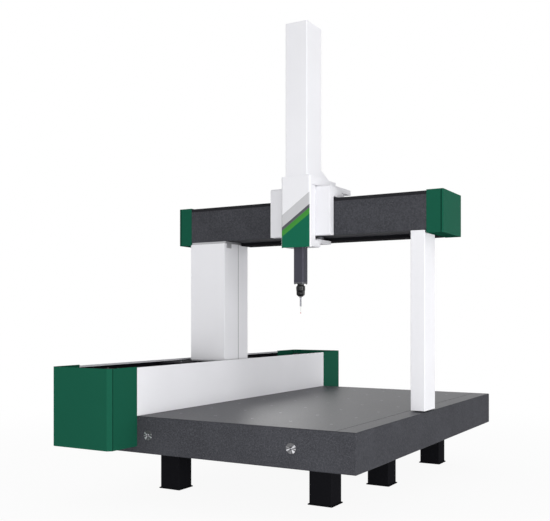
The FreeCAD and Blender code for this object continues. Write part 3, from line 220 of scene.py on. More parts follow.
class MachineFinishes(bpy.types.PropertyGroup):
    """Colours of the machine's finishes"""

    granite: colour("Granite", "Ground colour of the granite", (0.048, 0.049, 0.056))
    granite_fleck: colour("Granite fleck", "Pale crystals in the granite", (0.17, 0.17, 0.19))
    white_paint: colour("White paint", "Powder coat of the covers", (0.80, 0.80, 0.83))
    green_paint: colour("Green paint", "Powder coat of the end covers", (0.010, 0.088, 0.053))
    front_green: colour("Front green", "Green field of the front cover", (0.010, 0.128, 0.072))
    bright_green: colour("Bright green", "Narrow slanted stripe of the front cover", (0.055, 0.265, 0.045))
    light_stripe: colour("Light stripe", "Wide grey stripe of the front cover", (0.54, 0.54, 0.56))
    dark_stripe: colour("Dark stripe", "Thin grey stripe of the front cover", (0.10, 0.10, 0.115))
    black_paint: colour("Black paint", "Feet, saddle, tray and motors", (0.010, 0.010, 0.012))
    strip_grey: colour("Strip grey", "Dark strip along the beam's top edge", (0.022, 0.022, 0.025))
    ram_coat: colour("Ram coat", "Hard coat of the ram", (0.060, 0.060, 0.076))
    head_black: colour("Head black", "Housing of the probe head", (0.010, 0.010, 0.011))
    probe_steel: colour("Probe steel", "Body of the probe", (0.22, 0.22, 0.24))
    stem_ceramic: colour("Stem ceramic", "Stem of the stylus", (0.82, 0.82, 0.80))
    ruby: colour("Ruby", "Ball of the stylus", (0.55, 0.01, 0.03))
    plated_plug: colour("Plated plug", "Lifting plugs of the table", (0.62, 0.62, 0.65))
    ground_steel: colour("Ground steel", "Scale in the trough", (0.42, 0.42, 0.44))
    turned_steel: colour("Turned steel", "Pulleys, inserts and piston", (0.28, 0.28, 0.30))
    dark_steel: colour("Dark steel", "Screws and the ram's end", (0.10, 0.10, 0.11))
    cast_alloy: colour("Cast alloy", "Brackets, frames and cores", (0.46, 0.46, 0.48))
    hard_alloy: colour("Hard alloy", "Air-bearing pads", (0.13, 0.13, 0.145))
    belt_rubber: colour("Belt rubber", "Belts and their teeth", (0.016, 0.016, 0.017))
    stop_rubber: colour("Stop rubber", "End stops in the trough", (0.03, 0.03, 0.03))


class MachineDetails(bpy.types.PropertyGroup):
    """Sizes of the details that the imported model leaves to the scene"""

    edge: length("Edge", "Rounding of sheet and machined edges", 0.0015)
    granite_edge: length("Granite edge", "Rounding of the granite's edges", 0.005)
    screw: length("Screw head", "Diameter of a cap screw's head", 0.013)
    small_screw: length("Small screw head", "Diameter of a cover screw's head", 0.009)
    insert_ring: length("Insert ring", "Outer diameter of a threaded insert", 0.022)
    insert_bore: length("Insert bore", "Diameter of a threaded insert's hole", 0.0068)
    belt: length("Belt", "Thickness of a belt's back", 0.003)
    tooth: length("Belt tooth", "Depth of a tooth of a belt", 0.0025)
    tooth_pitch: length("Belt pitch", "Distance between the teeth of a belt", 0.0101)
    stripe_slope: FloatProperty(name="Stripe slope", description="Rise of the stripes over their run",
                                default=0.71)


class MachineStudio(bpy.types.PropertyGroup):
    """Camera and lamps"""

    camera_x: length("Camera X", "Camera place along the beam", 3.309)
    camera_y: length("Camera Y", "Camera place along the table", -6.794)
    camera_z: length("Camera height", "Camera height above the floor", 1.418)
    camera_turn: FloatProperty(name="Camera turn", description="Turn of the camera about Z", unit="ROTATION",
                               default=math.radians(32.04))
    lens: FloatProperty(name="Lens", description="Focal length in millimetres", default=55.13)
    shift_x: FloatProperty(name="Shift X", description="Sideways shift of the frame", default=0.1064)
    shift_y: FloatProperty(name="Shift Y", description="Upward shift of the frame", default=0.104)
    world: FloatProperty(name="World", description="Strength of the even light", default=0.60)
    key: FloatProperty(name="Key", description="Power of the lamp on the right", default=520.0)
    fill: FloatProperty(name="Fill", description="Power of the lamp in front", default=185.0)
    rear: FloatProperty(name="Rear", description="Power of the lamp behind", default=200.0)


# Node graphs
def plain(text):
    return text.lower().replace(" ", "_")


def find_socket(sockets, key):
    for socket in sockets:
        if socket.enabled and key in (plain(socket.identifier), plain(socket.name)):
            return socket
    raise KeyError(key)


class Wire:
    """An output socket. Arithmetic on it adds Math nodes to its graph."""

    def __init__(self, graph, node, socket):
        self.graph = graph
        self.node = node
        self.socket = socket

    def out(self, name):
        return Wire(self.graph, self.node, find_socket(self.node.outputs, plain(name)))

    def math(self, operation, first, second):
        return self.graph.math(operation, first, second)

    def __add__(self, other):
        return self.math("ADD", self, other)

    def __radd__(self, other):
        return self.math("ADD", other, self)

    def __sub__(self, other):
        return self.math("SUBTRACT", self, other)

    def __rsub__(self, other):
        return self.math("SUBTRACT", other, self)

    def __mul__(self, other):
        return self.math("MULTIPLY", self, other)

    def __rmul__(self, other):
        return self.math("MULTIPLY", other, self)

    def __gt__(self, level):
        return self.math("GREATER_THAN", self, level)

    def most(self, other):
        return self.math("MAXIMUM", self, other)

    def step(self, low, high):
        """Rises smoothly from 0 at low to 1 at high."""
        return self.graph.add("ShaderNodeMapRange", {"interpolation_type": "SMOOTHSTEP"}, value=self,
                              from_min=low, from_max=high)

    def split(self):
        parts = self.graph.add("ShaderNodeSeparateXYZ", vector=self)
        return parts.out("X"), parts.out("Y"), parts.out("Z")


class Graph:
    """A node tree whose nodes are added one call at a time."""

    def __init__(self, tree):
        self.tree = tree
        tree.nodes.clear()

    def add(self, kind, settings=None, **values):
        """Adds a node, with its settings first, and returns its first output.

        A value is a number or colour, a Wire, or a list of Wires for a socket that takes several.
        """
        node = self.tree.nodes.new(kind)
        for name, setting in (settings or {}).items():
            setattr(node, name, setting)
        for name, value in values.items():
            socket = find_socket(node.inputs, name)
            if isinstance(value, (Wire, list)):
                for wire in value if isinstance(value, list) else [value]:
                    self.tree.links.new(wire.socket, socket)
            else:
                socket.default_value = value
        first = next((socket for socket in node.outputs if socket.enabled), None)
        return Wire(self, node, first)

    def math(self, operation, first, second=None):
        values = {"value": first} if second is None else {"value": first, "value_001": second}
        return self.add("ShaderNodeMath", {"operation": operation}, **values)

    def absolute(self, value):
        return self.math("ABSOLUTE", value)

    def vector(self, x=0.0, y=0.0, z=0.0):
        return self.add("ShaderNodeCombineXYZ", x=x, y=y, z=z)


class Finish(Graph):
    """A material."""

    def __init__(self, name):
        self.made = bpy.data.materials.new(name)
        self.made.use_nodes = True
        super().__init__(self.made.node_tree)

    def place(self):
        return self.add("ShaderNodeTexCoord").out("Object")

    def stretch(self, vector, scale):
        return self.add("ShaderNodeMapping", vector=vector, scale=scale)

    def noise(self, vector, scale, detail):
        return self.add("ShaderNodeTexNoise", vector=vector, scale=scale, detail=detail)

    def cells(self, vector, scale):
        return self.add("ShaderNodeTexVoronoi", vector=vector, scale=scale)

    def mix(self, factor, first, second):
        return self.add("ShaderNodeMix", {"data_type": "RGBA"}, factor_float=factor,
                        a_color=as_colour(first), b_color=as_colour(second))

    def tones(self, factor, base, shares):
        dark, pale = shares
        return self.mix(factor, lighter(base, dark), lighter(base, pale))

    def bump(self, height, distance, strength):
        return self.add("ShaderNodeBump", height=height, distance=distance, strength=strength)

    def finish(self, shine=SHINE, **values):
        surface = self.add("ShaderNodeBsdfPrincipled", specular_ior_level=shine, **values)
        self.add("ShaderNodeOutputMaterial", surface=surface)
        return self.made


class PowderCoat(Finish):
    """Paint with fine orange peel and a slow change of tone, over which other colours can be laid."""

    def __init__(self, name, base):
        super().__init__(name)
        self.spot = self.place()
        self.cloud = self.noise(self.spot, PAINT_CLOUD, 3)
        self.tone = self.tones(self.cloud.step(0.3, 0.7), base, PAINT_TONES)

    def lay(self, mask, paint):
        """Lays a colour over the tone where the mask is 1."""
        self.tone = self.mix(mask, self.tone, paint)

    def harden(self, rough, peel=PEEL_DEPTH, shine=SHINE):
        height = self.noise(self.spot, PAINT_PEEL, 2)
        return self.finish(shine, base_color=self.tone, roughness=rough + self.cloud * 0.06,
                           normal=self.bump(height, peel, 0.5))


class Pattern(Graph):
    """A Geometry Nodes tree with named sizes, whose result is kept as a plain mesh."""

    def __init__(self, name, **sizes):
        super().__init__(bpy.data.node_groups.new(name, "GeometryNodeTree"))
        self.keys = {}
        for label, start in sizes.items():
            kind = "NodeSocketInt" if isinstance(start, int) else "NodeSocketFloat"
            socket = self.tree.interface.new_socket(label.replace("_", " ").capitalize(), in_out="INPUT",
                                                    socket_type=kind)
            socket.default_value = start
            self.keys[label] = socket.identifier
        self.tree.interface.new_socket("Geometry", in_out="OUTPUT", socket_type="NodeSocketGeometry")
        self.given = self.add("NodeGroupInput")

    def size(self, label):
        return self.given.out(label)

    def rod(self, sides, radius, depth):
        return self.add("GeometryNodeMeshCylinder", {"fill_type": "NGON"}, vertices=sides, radius=radius,
                        depth=depth)

    def cut(self, body, tool):
        return self.add("GeometryNodeMeshBoolean", {"operation": "DIFFERENCE", "solver": "EXACT"},
                        mesh_1=body, mesh_2=tool)

    def grid(self, across, along, pitch_across, pitch_along):
        """Rows of points about the origin, with the column and row of each."""
        index = self.add("GeometryNodeInputIndex")
        column = self.math("FLOOR", self.math("DIVIDE", index, along))
        row = index - column * along
        spot = self.vector((column - (across - 1) * 0.5) * pitch_across,
                           (row - (along - 1) * 0.5) * pitch_along)
        return self.add("GeometryNodePoints", count=across * along, position=spot), column, row

    def repeat(self, points, shape, **choices):
        return self.add("GeometryNodeInstanceOnPoints", points=points, instance=shape, **choices)

    def close(self, *layers):
        """Ends in real, painted geometry. Each layer is a shape and its finish."""
        painted = []
        for shape, finish in layers:
            real = self.add("GeometryNodeRealizeInstances", geometry=shape)
            painted.append(self.add("GeometryNodeSetMaterial", geometry=real, material=finish))
        self.add("NodeGroupOutput", geometry=self.add("GeometryNodeJoinGeometry", geometry=painted))
        return self

    def run(self, context, place, **sizes):
        """Evaluates the tree on an empty mesh and moves the plain result to its place."""
        holder = link("pattern", bpy.data.meshes.new("pattern"))
        modifier = holder.modifiers.new("Pattern", "NODES")
        modifier.node_group = self.tree
        for label, value in sizes.items():
            modifier[self.keys[label]] = value
        mesh = bpy.data.meshes.new_from_object(holder.evaluated_get(context.evaluated_depsgraph_get()))
        bpy.data.objects.remove(holder)
        mesh.transform(place)
        return mesh


def seen_directly(graph):
    """1 for the rays of the camera, of reflections and of glass, which see the background white."""
    path = graph.add("ShaderNodeLightPath")
    return path.out("Is Camera Ray").most(path.out("Is Glossy Ray")).most(path.out("Is Transmission Ray"))


def as_colour(value):
    return value if isinstance(value, Wire) else (*value, 1.0)


def lighter(value, factor):
    return tuple(min(1.0, part * factor) for part in value)


# Finishes
def granite_finish(name, ground, fleck, rough, shine):
    """Fine-grained stone: two sizes of crystal, a mottle, slow clouds and a ground surface."""
    stone = Finish(name)
    spot = stone.place()
    cloud = stone.noise(spot, STONE_CLOUD, 4)
    mottle = stone.noise(spot, STONE_MOTTLE, 1)
    grain = stone.noise(spot, STONE_GRAIN, 3)
    crystal = stone.cells(spot, STONE_CRYSTAL).out("Color").split()[0]
    clouded = stone.tones(cloud.step(0.35, 0.7) * 0.4 + mottle.step(0.32, 0.68) * 0.6, ground, STONE_TONES)
    grained = stone.mix(grain.step(0.42, 0.68) * 0.4, clouded, lighter(ground, STONE_GRAIN_TONE))
    tone = stone.mix(crystal.step(0.86, 0.97) * 0.35, grained, fleck)
    return stone.finish(shine, base_color=tone, roughness=rough + cloud * 0.05 + grain * 0.08,
                        normal=stone.bump(grain, 0.0001, 0.25))


def paint_finish(name, base, rough=0.42, joints=(), **coat):
    """Powder coat with painted shade along the joints and bends between sheets. A joint is an axis and its
    plane's place on it.
    """
    paint = PowderCoat(name, base)
    # Each dark line is painted shade of a gap or of a narrow bent facet at a joint
    for axis, place in joints:
        distance = paint.absolute(paint.spot.split()["xyz".index(axis)] - place)
        paint.lay(1 - distance.step(SHADED_JOINT_WIDTH * 0.4, SHADED_JOINT_WIDTH * 0.6), lighter(base, JOINT_SHADE))
    return paint.harden(rough, **coat)


def stripe_finish(name, white, bands, slope):
    """White front cover with slanted bands, each laid over the lower part of the one above it."""
    paint = PowderCoat(name, white)
    across, along, up = paint.spot.split()
    level = up - (across - STRIPE_MIDDLE) * slope
    front = 1 - (along > STRIPE_FRONT + STRIPE_DEPTH)
    for top, band in zip(STRIPE_TOPS, bands):
        paint.lay((1 - (level > top)) * front, band)
    return paint.harden(0.38)


def brushed_finish(name, base, rough, axis, metal=1.0):
    """Metal with fine lines along one axis."""
    sheet = Finish(name)
    spot = sheet.place()
    scale = tuple(METAL_ALONG_LINES if one == axis else METAL_ACROSS_LINES for one in "XYZ")
    lines = sheet.noise(sheet.stretch(spot, scale), 1.0, 3)
    cloud = sheet.noise(spot, METAL_CLOUD, 2)
    return sheet.finish(base_color=sheet.tones(lines, base, METAL_TONES), metallic=metal,
                        roughness=rough + lines * 0.12 + cloud * 0.05,
                        normal=sheet.bump(lines, 0.00004, 0.4))


def plug_finish(name, base):
    """Turned face with painted sheen: lighter and darker sectors around each plug's own middle stand for its
    reflections, and a pale line is painted along its slot.
    """
    plug = Finish(name)
    across, along, up = plug.place().split()
    side = plug.absolute(across - PLUG_MIDDLE.x) - PLUG_SPREAD
    rise = up - PLUG_MIDDLE.z
    turn = plug.math("ARCTAN2", rise, side)
    # Sectors of painted sheen: lighter and darker tone by the turn around each plug, standing for reflections
    painted_sheen = plug.add("ShaderNodeTexNoise", {"noise_dimensions": "2D"}, scale=2.0, detail=1.0,
                   vector=plug.vector(plug.math("SINE", turn), plug.math("COSINE", turn)))
    slot = 1 - plug.absolute(rise - side * SLOT_SLOPE).step(*SLOT_HALF_WIDTH)
    tone = plug.tones(painted_sheen.step(0.50, 0.66).most(slot), base, (PLUG_DARK_TONE, 1.0))
    return plug.finish(base_color=tone, metallic=0.7, roughness=0.30 + painted_sheen * 0.2)


def panel_shade_finish(name, white, black):
    """White panel, black below its rim: painted shade on its faces inside the trough."""
    panel = Finish(name)
    spot = panel.place()
    cloud = panel.noise(spot, PAINT_CLOUD, 3)
    below = 1 - (spot.split()[2] > HIGH["outer_trough_panel"].z - SHADE_DROP)
    return panel.finish(0.0, base_color=panel.mix(below, white, black), roughness=0.6 + cloud * 0.1)


def rubber_finish(name, base):
    """Matt rubber with a fine skin."""
    rubber = Finish(name)
    skin = rubber.noise(rubber.place(), RUBBER_SKIN, 3)
    return rubber.finish(base_color=rubber.tones(skin, base, RUBBER_TONES), roughness=0.72 + skin * 0.1,
                         normal=rubber.bump(skin, 0.0001, 0.6))


finishes_made = {}


def finish_named(context, name):
    """Makes each finish once, when a piece first asks for it."""
    if name in finishes_made:
        return finishes_made[name]
    tones = context.scene.machine_finishes
    stone = (tones.granite, tones.granite_fleck)
    bands = (tones.light_stripe, tones.dark_stripe, tones.bright_green, tones.front_green)
    makers = {
        "granite_lapped": lambda: granite_finish(name, *stone, rough=0.36, shine=0.16),
        "granite_sawn": lambda: granite_finish(name, *stone, rough=0.50, shine=0.015),
        "white_paint": lambda: paint_finish(name, tones.white_paint),
        "leg_white": lambda: paint_finish(name, tones.white_paint, joints=LEG_SHADED_JOINTS),
        "lined_panel": lambda: panel_shade_finish(name, tones.white_paint, tones.black_paint),
        "striped_front": lambda: stripe_finish(name, tones.white_paint, bands,
                                               context.scene.machine_details.stripe_slope),
        "trough_green": lambda: paint_finish(name, tones.green_paint, 0.40, TROUGH_SHADED_JOINTS, shine=0.005),
        "beam_green": lambda: paint_finish(name, tones.green_paint, 0.40, BEAM_SHADED_JOINTS, shine=0.005),
        # A darker copy of the cover green: painted shade under the beam's end covers
        "underside_green": lambda: paint_finish(name, lighter(tones.green_paint, UNDERSIDE_SHADE), 0.6,
                                                shine=0.0),
        "strip_grey": lambda: paint_finish(name, tones.strip_grey, 0.5, shine=0.005),
        "black_paint": lambda: paint_finish(name, tones.black_paint, 0.6, peel=0.0001, shine=0.002),
        "head_black": lambda: paint_finish(name, tones.head_black, 0.26, peel=0.00001, shine=0.25),
        "stem_ceramic": lambda: paint_finish(name, tones.stem_ceramic, 0.25, peel=0.00001),
        "ruby_ball": lambda: paint_finish(name, tones.ruby, 0.08, peel=0.000002),
        "ram_coat": lambda: brushed_finish(name, tones.ram_coat, 0.36, "Z", metal=0.35),
        "probe_steel": lambda: brushed_finish(name, tones.probe_steel, 0.30, "Z", metal=0.6),
        "ground_steel": lambda: brushed_finish(name, tones.ground_steel, 0.24, "Y", metal=0.8),
        "turned_steel": lambda: brushed_finish(name, tones.turned_steel, 0.30, "X", metal=0.7),
        "dark_steel": lambda: brushed_finish(name, tones.dark_steel, 0.34, "Z"),
        "cast_alloy": lambda: brushed_finish(name, tones.cast_alloy, 0.42, "Z", metal=0.8),
        "hard_alloy": lambda: brushed_finish(name, tones.hard_alloy, 0.38, "Y", metal=0.4),
        "plated_plug": lambda: plug_finish(name, tones.plated_plug),
        "belt_rubber": lambda: rubber_finish(name, tones.belt_rubber),
        "stop_rubber": lambda: rubber_finish(name, tones.stop_rubber),
    }
    finishes_made[name] = makers[name]()
    return finishes_made[name]


# Ways of making a piece
def link(name, data):
    piece = bpy.data.objects.new(name, data)
    bpy.context.scene.collection.objects.link(piece)
    return piece


def poured(made, mesh):
    """The mesh with what was made in it."""
    made.to_mesh(mesh)
    made.free()
    return mesh


def settle(piece, body, slot_name, *nodes):
    """Rides on its body and stands for the nodes that it replaces; its slot name is not used."""
    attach(piece, body)
    if nodes:
        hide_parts(*nodes)
    return piece


def dress(context, node, finish, edge=None, also=None):
    """A merged copy of a node with rounded edges and a finish, in the node's place.

    also names a second finish and the test of a face that takes it.
    """
    made = bmesh.new()
    made.from_mesh(frame["nodes"][node].data)
    bmesh.ops.remove_doubles(made, verts=made.verts, dist=MERGE_DISTANCE)
    bmesh.ops.dissolve_limit(made, angle_limit=FLAT_ANGLE, verts=made.verts, edges=made.edges)
    mesh = poured(made, frame["nodes"][node].data.copy())
    mesh.name = node + "_finished"
    mesh.materials.clear()
    mesh.materials.append(finish_named(context, finish))
    if also:
        second, wanted = also
        mesh.materials.append(finish_named(context, second))
        for face in mesh.polygons:
            face.material_index = int(wanted(face))
    piece = link(node + "_finished", mesh)
    width = context.scene.machine_details.edge if edge is None else edge
    if width > 0:
        bevel = piece.modifiers.new("Edges", "BEVEL")
        bevel.width = width
        bevel.segments = EDGE_SEGMENTS
        bevel.limit_method = "ANGLE"
        bevel.angle_limit = SHARP_ANGLE
        weighted = piece.modifiers.new("Flat faces", "WEIGHTED_NORMAL")
        weighted.keep_sharp = True
        split = piece.modifiers.new("Triangles", "TRIANGULATE")
        split.keep_custom_normals = True
    mesh.shade_smooth()
    mesh.set_sharp_from_angle(angle=SHARP_ANGLE)
    return settle(piece, BODY_OF[node], SLOT_OF[node], node)


def dress_all(context, finish, nodes, edge=None):
    for node in nodes:
        dress(context, node, finish, edge)


def facing(point, across, along):
    """Matrix that lays a pattern's X and Y along two directions at a point."""
    x, y = Vector(across), Vector(along)
    return Matrix.Translation(point) @ Matrix((x, y, x.cross(y))).transposed().to_4x4()


def gather(name, meshes, body, slot_name):
    """One piece out of several meshes that share their finishes."""
    made = bmesh.new()
    for mesh in meshes:
        made.from_mesh(mesh)
    whole = poured(made, meshes[0].copy())
    whole.set_sharp_from_angle(angle=SHARP_ANGLE)
    return settle(link(name, whole), body, slot_name)


def screw_pattern(context):
    """Cap screws with a hexagon socket, on a grid, each turned by chance."""
    tree = Pattern("cap_screws", across=2, along=2, pitch_across=0.1, pitch_along=0.1,
                   head=context.scene.machine_details.screw)
    head = tree.size("head")
    height = head * CAP_HEIGHT
    cap = tree.add("GeometryNodeMeshCone", {"fill_type": "NGON"}, vertices=CAP_SIDES,
                   radius_top=head * CAP_TOP_RADIUS, radius_bottom=head * 0.5, depth=height)
    key = tree.add("GeometryNodeTransform", geometry=tree.rod(KEY_SIDES, head * CAP_KEY_RADIUS, height),
                   translation=tree.vector(z=height))
    points = tree.grid(tree.size("across"), tree.size("along"),
                       tree.size("pitch_across"), tree.size("pitch_along"))[0]
    turn = tree.add("FunctionNodeRandomValue", {"data_type": "FLOAT"}, min=0.0, max=math.tau / KEY_SIDES,
                    seed=SCREW_SEED)
    screws = tree.repeat(points, tree.cut(cap, key), rotation=tree.vector(z=turn))
    return tree.close((screws, finish_named(context, "dark_steel")))


class ScrewGrid(NamedTuple):
    """Screws in a grid on a node's face: middle, two directions, counts, pitches and the head's setting"""

    node: str
    spot: Vector
    across: tuple
    along: tuple
    counts: tuple
    pitches: tuple
    head: str = "small_screw"


def screw_grids():
    """All grids of screws, one after the other."""
    for panel in ("inner_trough_panel", "outer_trough_panel"):
        yield ScrewGrid(panel, on_face(panel, z=LOW[panel].z + PANEL_WALL), RIGHT, AWAY, (1, 8), (0.0, 0.42))

    saddle = "bridge_saddle"
    reach = HIGH["saddle_bearings"].y - LOW["saddle_bearings"].y - 2 * PAD_MARGIN
    stud_z = LOW[saddle].z + STUD_HEIGHT
    yield ScrewGrid(saddle, on_face(saddle, z=HIGH[saddle].z), RIGHT, AWAY, (2, 2), (0.175, reach), "screw")
    right_side = on_face(saddle, x=HIGH[saddle].x, z=stud_z)
    left_side = on_face(saddle, x=LOW[saddle].x, z=stud_z)
    yield ScrewGrid(saddle, right_side, AWAY, UP, (2, 1), (reach, 0.0), "screw")
    yield ScrewGrid(saddle, left_side, UP, AWAY, (1, 2), (0.0, reach), "screw")

    stops = "y_end_stops"
    for y in (LOW[stops].y + STOP_MARGIN, HIGH[stops].y - STOP_MARGIN):
        yield ScrewGrid(stops, on_face(stops, y=y, z=HIGH[stops].z), RIGHT, AWAY, (2, 1), (0.1, 0.0))

    feet = "y_pulley_brackets"
    foot_z = LOW[feet].z + FOOT_HEIGHT
    for y, across in ((LOW["granite_table"].y - BRACKET_WALL, RIGHT),
                      (HIGH["granite_table"].y + BRACKET_WALL, LEFT)):
        yield ScrewGrid(feet, on_face(feet, y=y, z=foot_z), across, UP, (2, 1), (0.07, 0.0), "screw")

    for cover, counts, pitches in (("left_leg_rear_cover", (2, 4), (0.33, 0.32)),
                                   ("beam_end_cover_left", (2, 3), (0.09, 0.13)),
                                   ("beam_end_cover_right", (2, 3), (0.09, 0.13))):
        yield ScrewGrid(cover, on_face(cover, y=HIGH[cover].y), LEFT, UP, counts, pitches)

    tray, plate, column, end = "beam_tray", "carriage_rear_plate", "column_cover", "ram_end_plate"
    yield ScrewGrid(tray, on_face(tray, z=LOW[tray].z), LEFT, AWAY, (9, 1), (0.21, 0.0))
    plate_back = LOW[plate].y + PLATE_SETBACK + PLATE_WALL
    plate_spot = on_face(plate, y=plate_back, z=LOW[plate].z + PLATE_SCREW_HEIGHT)
    yield ScrewGrid(plate, plate_spot, LEFT, UP, (2, 3), (0.19, 0.14), "screw")
    column_spot = on_face(column, y=HIGH[column].y, z=LOW[column].z + COLUMN_SCREW_HEIGHT)
    yield ScrewGrid(column, column_spot, LEFT, UP, (2, 5), (0.168, 0.24))
    yield ScrewGrid(end, on_face(end, z=LOW[end].z), LEFT, AWAY, (2, 2), (0.072, 0.072))


def insert_pattern(context):
    """Threaded rings on the grid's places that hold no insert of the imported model."""
    details = context.scene.machine_details
    tree = Pattern("insert_rings", across=INSERT_COLUMNS, along=INSERT_ROWS, pitch_across=0.1,
                   pitch_along=0.1, ring=details.insert_ring, bore=details.insert_bore)
    bore_radius = tree.size("bore") * 0.5
    ring = tree.cut(tree.rod(RING_SIDES, tree.size("ring") * 0.5, INSERT_LIFT * 2),
                    tree.rod(BORE_SIDES, bore_radius, INSERT_LIFT * 8))
    hole = tree.rod(BORE_SIDES, bore_radius, INSERT_LIFT)
    points, column, row = tree.grid(tree.size("across"), tree.size("along"),
                                    tree.size("pitch_across"), tree.size("pitch_along"))
    free = tree.math("MODULO", column, 2.0).most(tree.math("MODULO", row, 2.0)) > 0.5
    return tree.close((tree.repeat(points, ring, selection=free), finish_named(context, "turned_steel")),
                      (tree.repeat(points, hole, selection=free), finish_named(context, "black_paint")))


def tooth_pattern(context):
    """Teeth in a row on the inner side of a belt's straight run."""
    details = context.scene.machine_details
    tree = Pattern("belt_teeth", count=2, pitch=details.tooth_pitch, depth=details.tooth, width=0.025)
    points = tree.grid(tree.size("count"), 1, tree.size("pitch"), 0.0)[0]
    tooth = tree.add("GeometryNodeMeshCube", size=tree.vector(tree.size("pitch") * TOOTH_SHARE,
                                                              tree.size("depth"), tree.size("width")))
    return tree.close((tree.repeat(points, tooth), finish_named(context, "belt_rubber")))


# Pieces of the machine
class MACHINE_OT_granite(bpy.types.Operator):
    """Table, guide rail and beam in sawn granite with lapped tops"""

    bl_idname = "machine.granite"
    bl_label = "Granite"

    def execute(self, context):
        edge = context.scene.machine_details.granite_edge
        for node in ("granite_table", "y_guide_rail", "beam"):
            dress(context, node, "granite_sawn", edge,
                  also=("granite_lapped", lambda face: face.normal.z > FACING))
        return {"FINISHED"}


class MACHINE_OT_table_fittings(bpy.types.Operator):
    """Feet, lifting plugs and threaded inserts of the table"""

    bl_idname = "machine.table_fittings"
    bl_label = "Table fittings"

    def execute(self, context):
        dress(context, "support_legs", "black_paint", FOOT_EDGE)
        dress(context, "lifting_plugs", "plated_plug", MACHINED_EDGE)
        dress(context, "thread_inserts", "turned_steel", FINE_EDGE)
        return {"FINISHED"}


class MACHINE_OT_trough(bpy.types.Operator):
    """Panels, end covers, scale and stops of the trough"""

    bl_idname = "machine.trough"
    bl_label = "Trough"

    def execute(self, context):
        # The panels' faces inside the trough are black below the rim: painted shade.
        dress(context, "inner_trough_panel", "white_paint", SHEET_EDGE,
              also=("lined_panel", lambda face: face.normal.x < -FACING))
        dress(context, "outer_trough_panel", "white_paint", SHEET_EDGE,
              also=("lined_panel", lambda face: face.normal.x > FACING))
        dress_all(context, "trough_green", ["near_trough_cover", "far_trough_cover"], SHEET_EDGE)
        dress(context, "y_scale", "ground_steel", SCALE_EDGE)
        dress(context, "y_end_stops", "stop_rubber")
        return {"FINISHED"}


class MACHINE_OT_bridge(bpy.types.Operator):
    """Saddle, legs, strip, tray and end covers of the bridge"""

    bl_idname = "machine.bridge"
    bl_label = "Bridge"

    def execute(self, context):
        dress_all(context, "black_paint", ["bridge_saddle", "beam_tray", "right_leg_shoe"])
        dress(context, "beam_scale_strip", "strip_grey")
        dress_all(context, "leg_white", ["left_leg_front_cover", "left_leg_rear_cover"], FOLDED_EDGE)
        dress(context, "right_leg", "white_paint", MACHINED_EDGE)
        dress_all(context, "cast_alloy", ["left_leg_core", "left_leg_head_plate"])
        dress_all(context, "beam_green", ["beam_end_cover_left", "beam_end_cover_right"], FOLDED_EDGE)
        return {"FINISHED"}


class MACHINE_OT_carriage(bpy.types.Operator):
    """Castings and covers of the carriage"""

    bl_idname = "machine.carriage"
    bl_label = "Carriage"

    def execute(self, context):
        dress_all(context, "white_paint", ["carriage_frame", "z_housing", "carriage_tower_base",
                                           "carriage_bottom_arm", "carriage_rear_plate"], CASTING_EDGE)
        dress(context, "front_cover", "striped_front", COATED_EDGE)
        return {"FINISHED"}


class MACHINE_OT_column(bpy.types.Operator):
    """Z column, its brace, frame and counterbalance"""

    bl_idname = "machine.column"
    bl_label = "Column"

    def execute(self, context):
        dress_all(context, "white_paint", ["column_cover", "column_brace"], SHEET_EDGE)
        dress(context, "column_frame", "cast_alloy")
        dress(context, "counterbalance_piston", "turned_steel", FOLDED_EDGE)
        return {"FINISHED"}


class MACHINE_OT_bearings(bpy.types.Operator):
    """Air-bearing pads of saddle, carriage and ram"""

    bl_idname = "machine.bearings"
    bl_label = "Bearings"

    def execute(self, context):
        dress_all(context, "hard_alloy", ["saddle_bearings", "carriage_bearings", "z_bearings"], SHEET_EDGE)
        return {"FINISHED"}


class MACHINE_OT_drives(bpy.types.Operator):
    """Belts, pulleys, brackets and motors of the three drives"""

    bl_idname = "machine.drives"
    bl_label = "Drives"

    def execute(self, context):
        for axis in "xyz":
            dress(context, axis + "_belt", "belt_rubber", NO_EDGE)
            dress_all(context, "turned_steel", [axis + "_drive_pulley", axis + "_idler_pulley"], FINE_EDGE)
            dress(context, axis + "_motor", "black_paint")
        dress_all(context, "cast_alloy", ["x_pulley_brackets", "y_pulley_brackets", "y_belt_clamp",
                                          "ram_top_bracket"], MACHINED_EDGE)
        return {"FINISHED"}


class MACHINE_OT_ram(bpy.types.Operator):
    """Ram with its end plate"""

    bl_idname = "machine.ram"
    bl_label = "Ram"

    def execute(self, context):
        dress(context, "ram", "ram_coat", COATED_EDGE)
        dress(context, "ram_end_plate", "dark_steel", MACHINED_EDGE)
        return {"FINISHED"}


class MACHINE_OT_probe_head(bpy.types.Operator):
    """Turning and tilting head, probe, stylus and ruby ball"""

    bl_idname = "machine.probe_head"
    bl_label = "Probe head"

    def execute(self, context):
        dress_all(context, "head_black", ["head_body", "head_swivel", "head_knuckle"], FINE_EDGE)
        dress(context, "probe_body", "probe_steel", FINE_EDGE)
        dress(context, "stylus", "stem_ceramic", STYLUS_EDGE)
        dress(context, "ruby_tip", "ruby_ball", NO_EDGE)
        return {"FINISHED"}


class MACHINE_OT_inserts(bpy.types.Operator):
    """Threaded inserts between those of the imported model"""

    bl_idname = "machine.inserts"
    bl_label = "Inserts"

    def execute(self, context):
        node = "thread_inserts"
        ring = context.scene.machine_details.insert_ring
        reach = HIGH[node] - LOW[node]
        rings = insert_pattern(context).run(
            context, Matrix.Translation(on_face(node, z=HIGH["granite_table"].z)),
            pitch_across=(reach.x - ring) / (INSERT_COLUMNS - 1),
            pitch_along=(reach.y - ring) / (INSERT_ROWS - 1))
        gather("insert_rings", [rings], BODY_OF[node], SLOT_OF[node])
        return {"FINISHED"}


